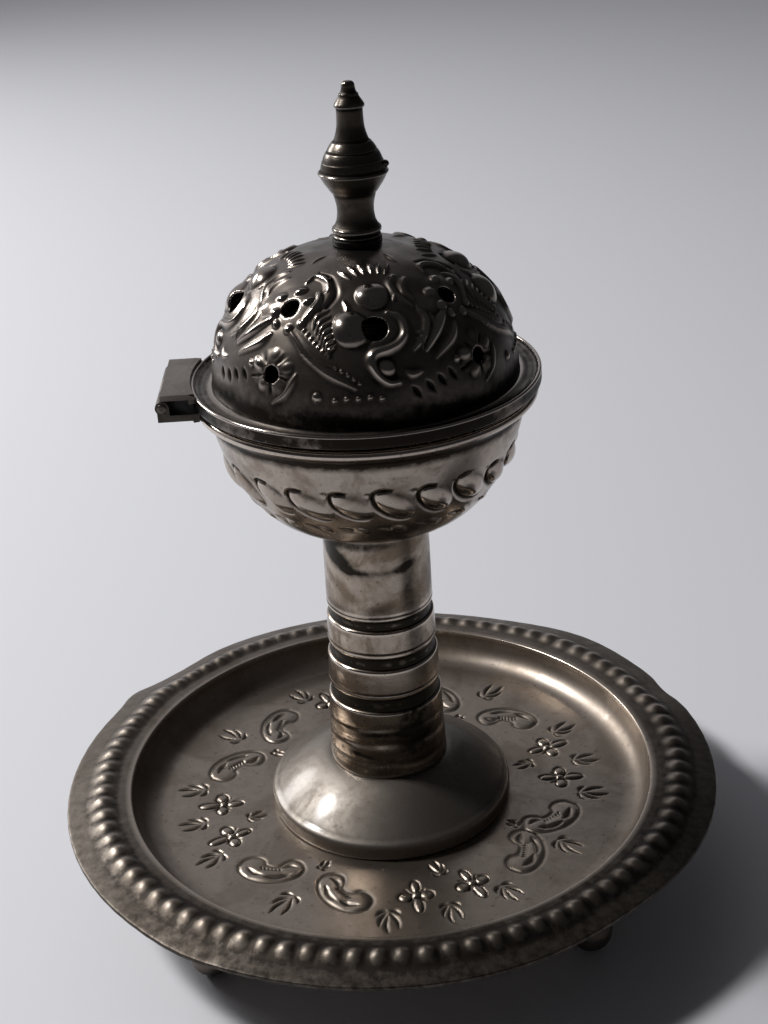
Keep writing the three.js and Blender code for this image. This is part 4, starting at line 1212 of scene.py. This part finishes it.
def aged_metal(name, plate, patina, tarnish, roughness, film=(0.45, 0.62), film_amount=0.6, film_scale=95.0,
               specks=0.35, spun=0.3, grain=0.25, cavity=0.9, wear=0.5, shift=0.0, metallic=1.0, ragged=0.4,
               polish=0.0):
    """Old plated brass: a plate colour, a brown film in blotches, dark tarnish in the recesses, dark specks,
    worn edges, the fine rings that spinning leaves, and a little grain. The groove attribute also carries
    painted shade, and the ridge attribute painted highlights. polish is a thin clear film on it."""
    material = bpy.data.materials.new(name)
    nodes = Nodes(material)
    times, plus, mixed, noise, spread = nodes.times, nodes.plus, nodes.mixed, nodes.noise, nodes.spread
    own = nodes.add("TexCoord").outputs["Object"]
    moved = (shift, 0.37 * shift, 0.71 * shift)
    place = nodes.add("VectorMath", {0: own, 1: moved}, operation="ADD").outputs[0]
    # ridge carries wear and painted highlights, groove carries tarnish and painted shade
    ridge = nodes.add("Attribute", attribute_name="ridge").outputs["Fac"]
    groove = nodes.add("Attribute", attribute_name="groove").outputs["Fac"]

    patches = spread(noise(place, film_scale, 7.0, 0.62, 0.6), *film)
    fine = noise(place, film_scale * 9, 4.0, 0.6)
    specked = spread(noise(place, film_scale * 14, 2.0, 0.5), 0.64, 0.72)
    torn = times(nodes.math("SUBTRACT", noise(place, TORN_SCALE, 6.0, 0.65), 0.5), ragged * 5)
    tarnish_and_shade = times(times(groove, plus(torn, 1.1), clamp=True), cavity * 1.6, clamp=True)
    wear_and_highlight = times(times(ridge, plus(fine, 0.4), clamp=True), wear * 1.6, clamp=True)

    worn_and_highlight_colour = [min(1.0, 1.35 * c + 0.04) for c in plate]
    worn_and_highlight_colour, plate, patina, tarnish = ((*colour, 1.0) for colour in (worn_and_highlight_colour, plate, patina, tarnish))
    colour = mixed(times(patches, film_amount), plate, patina)
    colour = mixed(times(spread(fine, 0.3, 0.75), 0.22), colour, patina)
    colour = mixed(wear_and_highlight, colour, worn_and_highlight_colour)
    colour = mixed(tarnish_and_shade, colour, tarnish)
    colour = mixed(times(specked, specks), colour, tarnish)

    rough = plus(times(patches, 0.12 * film_amount), roughness)
    rough = plus(plus(rough, times(fine, 0.12)), times(tarnish_and_shade, 0.22))
    rough = nodes.math("SUBTRACT", rough, times(wear_and_highlight, 0.12), clamp=True)

    height = plus(times(lathe_rings(nodes, own), spun), times(noise(place, GRAIN_SCALE, 3.0, 0.7), grain))
    height = plus(height, times(noise(place, DENT_SCALE, 2.0, 0.5), 1.6))
    bump = nodes.add("Bump", {"Height": height, "Strength": 0.35, "Distance": 0.00012}).outputs[0]

    shader = nodes.add("BsdfPrincipled", {
        "Base Color": colour, "Metallic": metallic, "Roughness": rough, "Normal": bump,
        "Coat Weight": polish, "Coat Roughness": 0.16})
    nodes.add("OutputMaterial", {0: shader.outputs[0]})
    return material


# Plate, patina and tarnish as linear colours, roughness, and what differs from other metals
METALS = {
    "tray": ((0.32, 0.274, 0.23), (0.17, 0.134, 0.103), (0.026, 0.021, 0.017), 0.25,
             dict(film_amount=0.55, film_scale=55.0, spun=0.12, grain=0.0, wear=0.3, metallic=0.95,
                  ragged=0.2)),
    "foot": ((0.16, 0.137, 0.115), (0.09, 0.072, 0.058), (0.02, 0.017, 0.014), 0.4,
             dict(spun=0.1, grain=0.5)),
    "pedestal": ((0.185, 0.163, 0.141), (0.11, 0.091, 0.075), (0.03, 0.025, 0.021), 0.43,
                 dict(film_amount=0.55, film_scale=90.0, spun=0.1, grain=0.0, shift=0.4, metallic=0.95,
                      polish=0.3)),
    "stem": ((0.38, 0.325, 0.272), (0.16, 0.117, 0.082), (0.027, 0.023, 0.018), 0.12,
             dict(film=(0.42, 0.6), film_amount=0.85, film_scale=85.0, specks=0.55, spun=0.18, grain=0.08,
                  shift=0.9, ragged=0.42, wear=1.0)),
    "bowl": ((0.37, 0.32, 0.275), (0.16, 0.12, 0.088), (0.024, 0.018, 0.013), 0.14,
             dict(film_amount=0.7, film_scale=80.0, specks=0.45, spun=0.12, grain=0.06, shift=1.3)),
    "rim": ((0.28, 0.243, 0.212), (0.13, 0.10, 0.076), (0.02, 0.016, 0.013), 0.2,
            dict(spun=0.2, grain=0.04, wear=1.1, shift=1.8)),
    "dome": ((0.245, 0.211, 0.183), (0.095, 0.077, 0.063), (0.011, 0.009, 0.008), 0.19,
             dict(film_scale=70.0, specks=0.3, spun=0.03, wear=1.5, cavity=1.0, grain=0.04, shift=2.3,
                  ragged=0.2)),
    "finial": ((0.078, 0.065, 0.053), (0.045, 0.036, 0.028), (0.011, 0.009, 0.008), 0.25,
               dict(spun=0.6, grain=0.35, wear=1.0, shift=2.9)),
    "hinge": ((0.175, 0.15, 0.128), (0.10, 0.082, 0.068), (0.016, 0.013, 0.011), 0.34,
              dict(film_amount=0.7, spun=0.05, grain=0.3, shift=3.4, metallic=0.6)),
    # A dark copy of the hinge metal: painted shade on the bowl's leaf and the pin, which sit in shadow
    "hinge_painted_shade": ((0.075, 0.064, 0.054), (0.045, 0.037, 0.031), (0.012, 0.01, 0.009), 0.34,
              dict(film_amount=0.7, spun=0.05, grain=0.3, shift=4.4, metallic=0.8)),
    "steel": ((0.38, 0.38, 0.385), (0.22, 0.19, 0.16), (0.05, 0.045, 0.04), 0.34,
              dict(film_amount=0.35, spun=0.4, grain=0.4, shift=3.9)),
}
metals = {name: aged_metal(f"{name}_metal", *values, **looks) for name, (*values, looks) in METALS.items()}


# Pieces on their bodies
def finish(piece, metal, body, node):
    """Gives a piece its one metal, and its place in the frame"""
    piece.data.materials.clear()
    piece.data.materials.append(metals[metal])
    piece.data.polygons.foreach_set("material_index", [0] * len(piece.data.polygons))
    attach(piece, body)
    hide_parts(node)


finish(make_tray(), "tray", "stand", "tray")
for foot in range(4):
    finish(make_foot(foot), "foot", "stand", f"tray_foot_{foot + 1}")
finish(make_pedestal(), "pedestal", "stand", "pedestal_foot")
finish(make_stem(), "stem", "stand", "stem")
finish(make_bowl(), "bowl", "stand", "bowl")
finish(make_seat_ring(), "rim", "stand", "lid_seat_ring")
finish(make_tie_bolt(), "steel", "stand", "tie_bolt")
for washer in ("bowl_washer", "tray_washer"):
    finish(make_washer(washer, BOLT_BORE), "steel", "stand", washer)
finish(make_nut(), "steel", "stand", "tray_nut")
finish(make_lid_rim(), "rim", "lid", "lid_rim")
finish(make_dome(), "dome", "lid", "lid_dome")
finish(make_finial(), "finial", "lid", "finial")
finish(make_washer("finial_washer", SCREW_BORE), "steel", "lid", "finial_washer")
finish(make_finial_screw(), "steel", "lid", "finial_screw")
finish(make_lid_leaf(), "hinge", "lid", "lid_hinge_leaf")
# The bowl's leaf and the pin get the hinge metal darkened as painted shade
finish(make_bowl_leaf(), "hinge_painted_shade", "stand", "bowl_hinge_leaf")
finish(make_pin(), "hinge_painted_shade", "stand", "hinge_pin")


# Stage
# Half of the floor's width, and the height that the lamps are aimed at, in metres
FLOOR_HALF = 4.0
OBJECT_MIDDLE = 0.09


def plain_material(name, colour, roughness):
    material = bpy.data.materials.new(name)
    material.use_nodes = True
    shader = material.node_tree.nodes["Principled BSDF"]
    shader.inputs["Base Color"].default_value = (*colour, 1.0)
    shader.inputs["Roughness"].default_value = roughness
    return material


def make_floor():
    corners = [(x * FLOOR_HALF, y * FLOOR_HALF, 0) for x, y in ((-1, -1), (1, -1), (1, 1), (-1, 1))]
    mesh = bpy.data.meshes.new("floor")
    mesh.from_pydata(corners, [], [(0, 1, 2, 3)])
    mesh.materials.append(plain_material("pale_floor", (0.70, 0.70, 0.73), 0.6))
    linked("floor", mesh)


def make_world():
    """A dim grey room, paler behind and dark in front"""
    world = bpy.data.worlds.new("room")
    bpy.context.scene.world = world
    nodes = Nodes(world)
    dark, pale = (0.034, 0.034, 0.037, 1.0), (0.46, 0.46, 0.49, 1.0)
    paler = Vector((-0.5, 0.85, 0.17)).normalized()
    direction = nodes.add("TexCoord").outputs["Generated"]
    side = nodes.add("VectorMath", {0: direction, 1: paler}, operation="DOT_PRODUCT").outputs["Value"]
    colour = nodes.mixed(nodes.spread(side, 0.45, 0.88), dark, pale)
    background = nodes.add("Background", {"Color": colour, "Strength": 1.0})
    nodes.add("OutputWorld", {0: background.outputs[0]})


def make_lamp(name, location, size, power):
    """A square lamp that shines on the object's middle"""
    data = bpy.data.lights.new(name, "AREA")
    data.shape = "RECTANGLE"
    data.size = data.size_y = size
    data.energy = power
    lamp = linked(name, data)
    lamp.location = location
    aim = Vector((0, 0, OBJECT_MIDDLE))
    lamp.rotation_euler = (aim - Vector(location)).to_track_quat("-Z", "Y").to_euler()


# The photograph's camera: place in metres, pitch, yaw and roll in degrees, lens and sensor in mm
CAMERA_PLACE = (0.0, -0.33614, 0.26116)
CAMERA_TURNS = (25.870, 0.395, -3.409)
CAMERA_LENS = 54.14
CAMERA_SENSOR = 36.0


def make_camera():
    """The photograph's camera: 26 degrees down, and turned a little about its own axis"""
    pitch, yaw, roll = (math.radians(turn) for turn in CAMERA_TURNS)
    forward = Vector((math.sin(yaw) * math.cos(pitch), math.cos(yaw) * math.cos(pitch), -math.sin(pitch)))
    right = Vector((math.cos(yaw), -math.sin(yaw), 0))
    up = right.cross(forward)
    side = math.cos(roll) * right + math.sin(roll) * up
    top = -math.sin(roll) * right + math.cos(roll) * up
    data = bpy.data.cameras.new("camera")
    data.sensor_width = CAMERA_SENSOR
    data.lens = CAMERA_LENS
    data.clip_start, data.clip_end = 0.01, 50
    camera = linked("camera", data)
    turn = Matrix((side, top, -forward)).transposed()
    camera.matrix_world = Matrix.Translation(CAMERA_PLACE) @ turn.to_4x4()
    bpy.context.scene.camera = camera


make_floor()
make_world()
make_lamp("window", (-1.07, 0.23, 1.26), 0.24, 21.5)
make_lamp("low_window", (-1.14, 0.95, 0.69), 0.4, 9.2)
make_camera()
bpy.context.scene.view_settings.view_transform = "Standard"
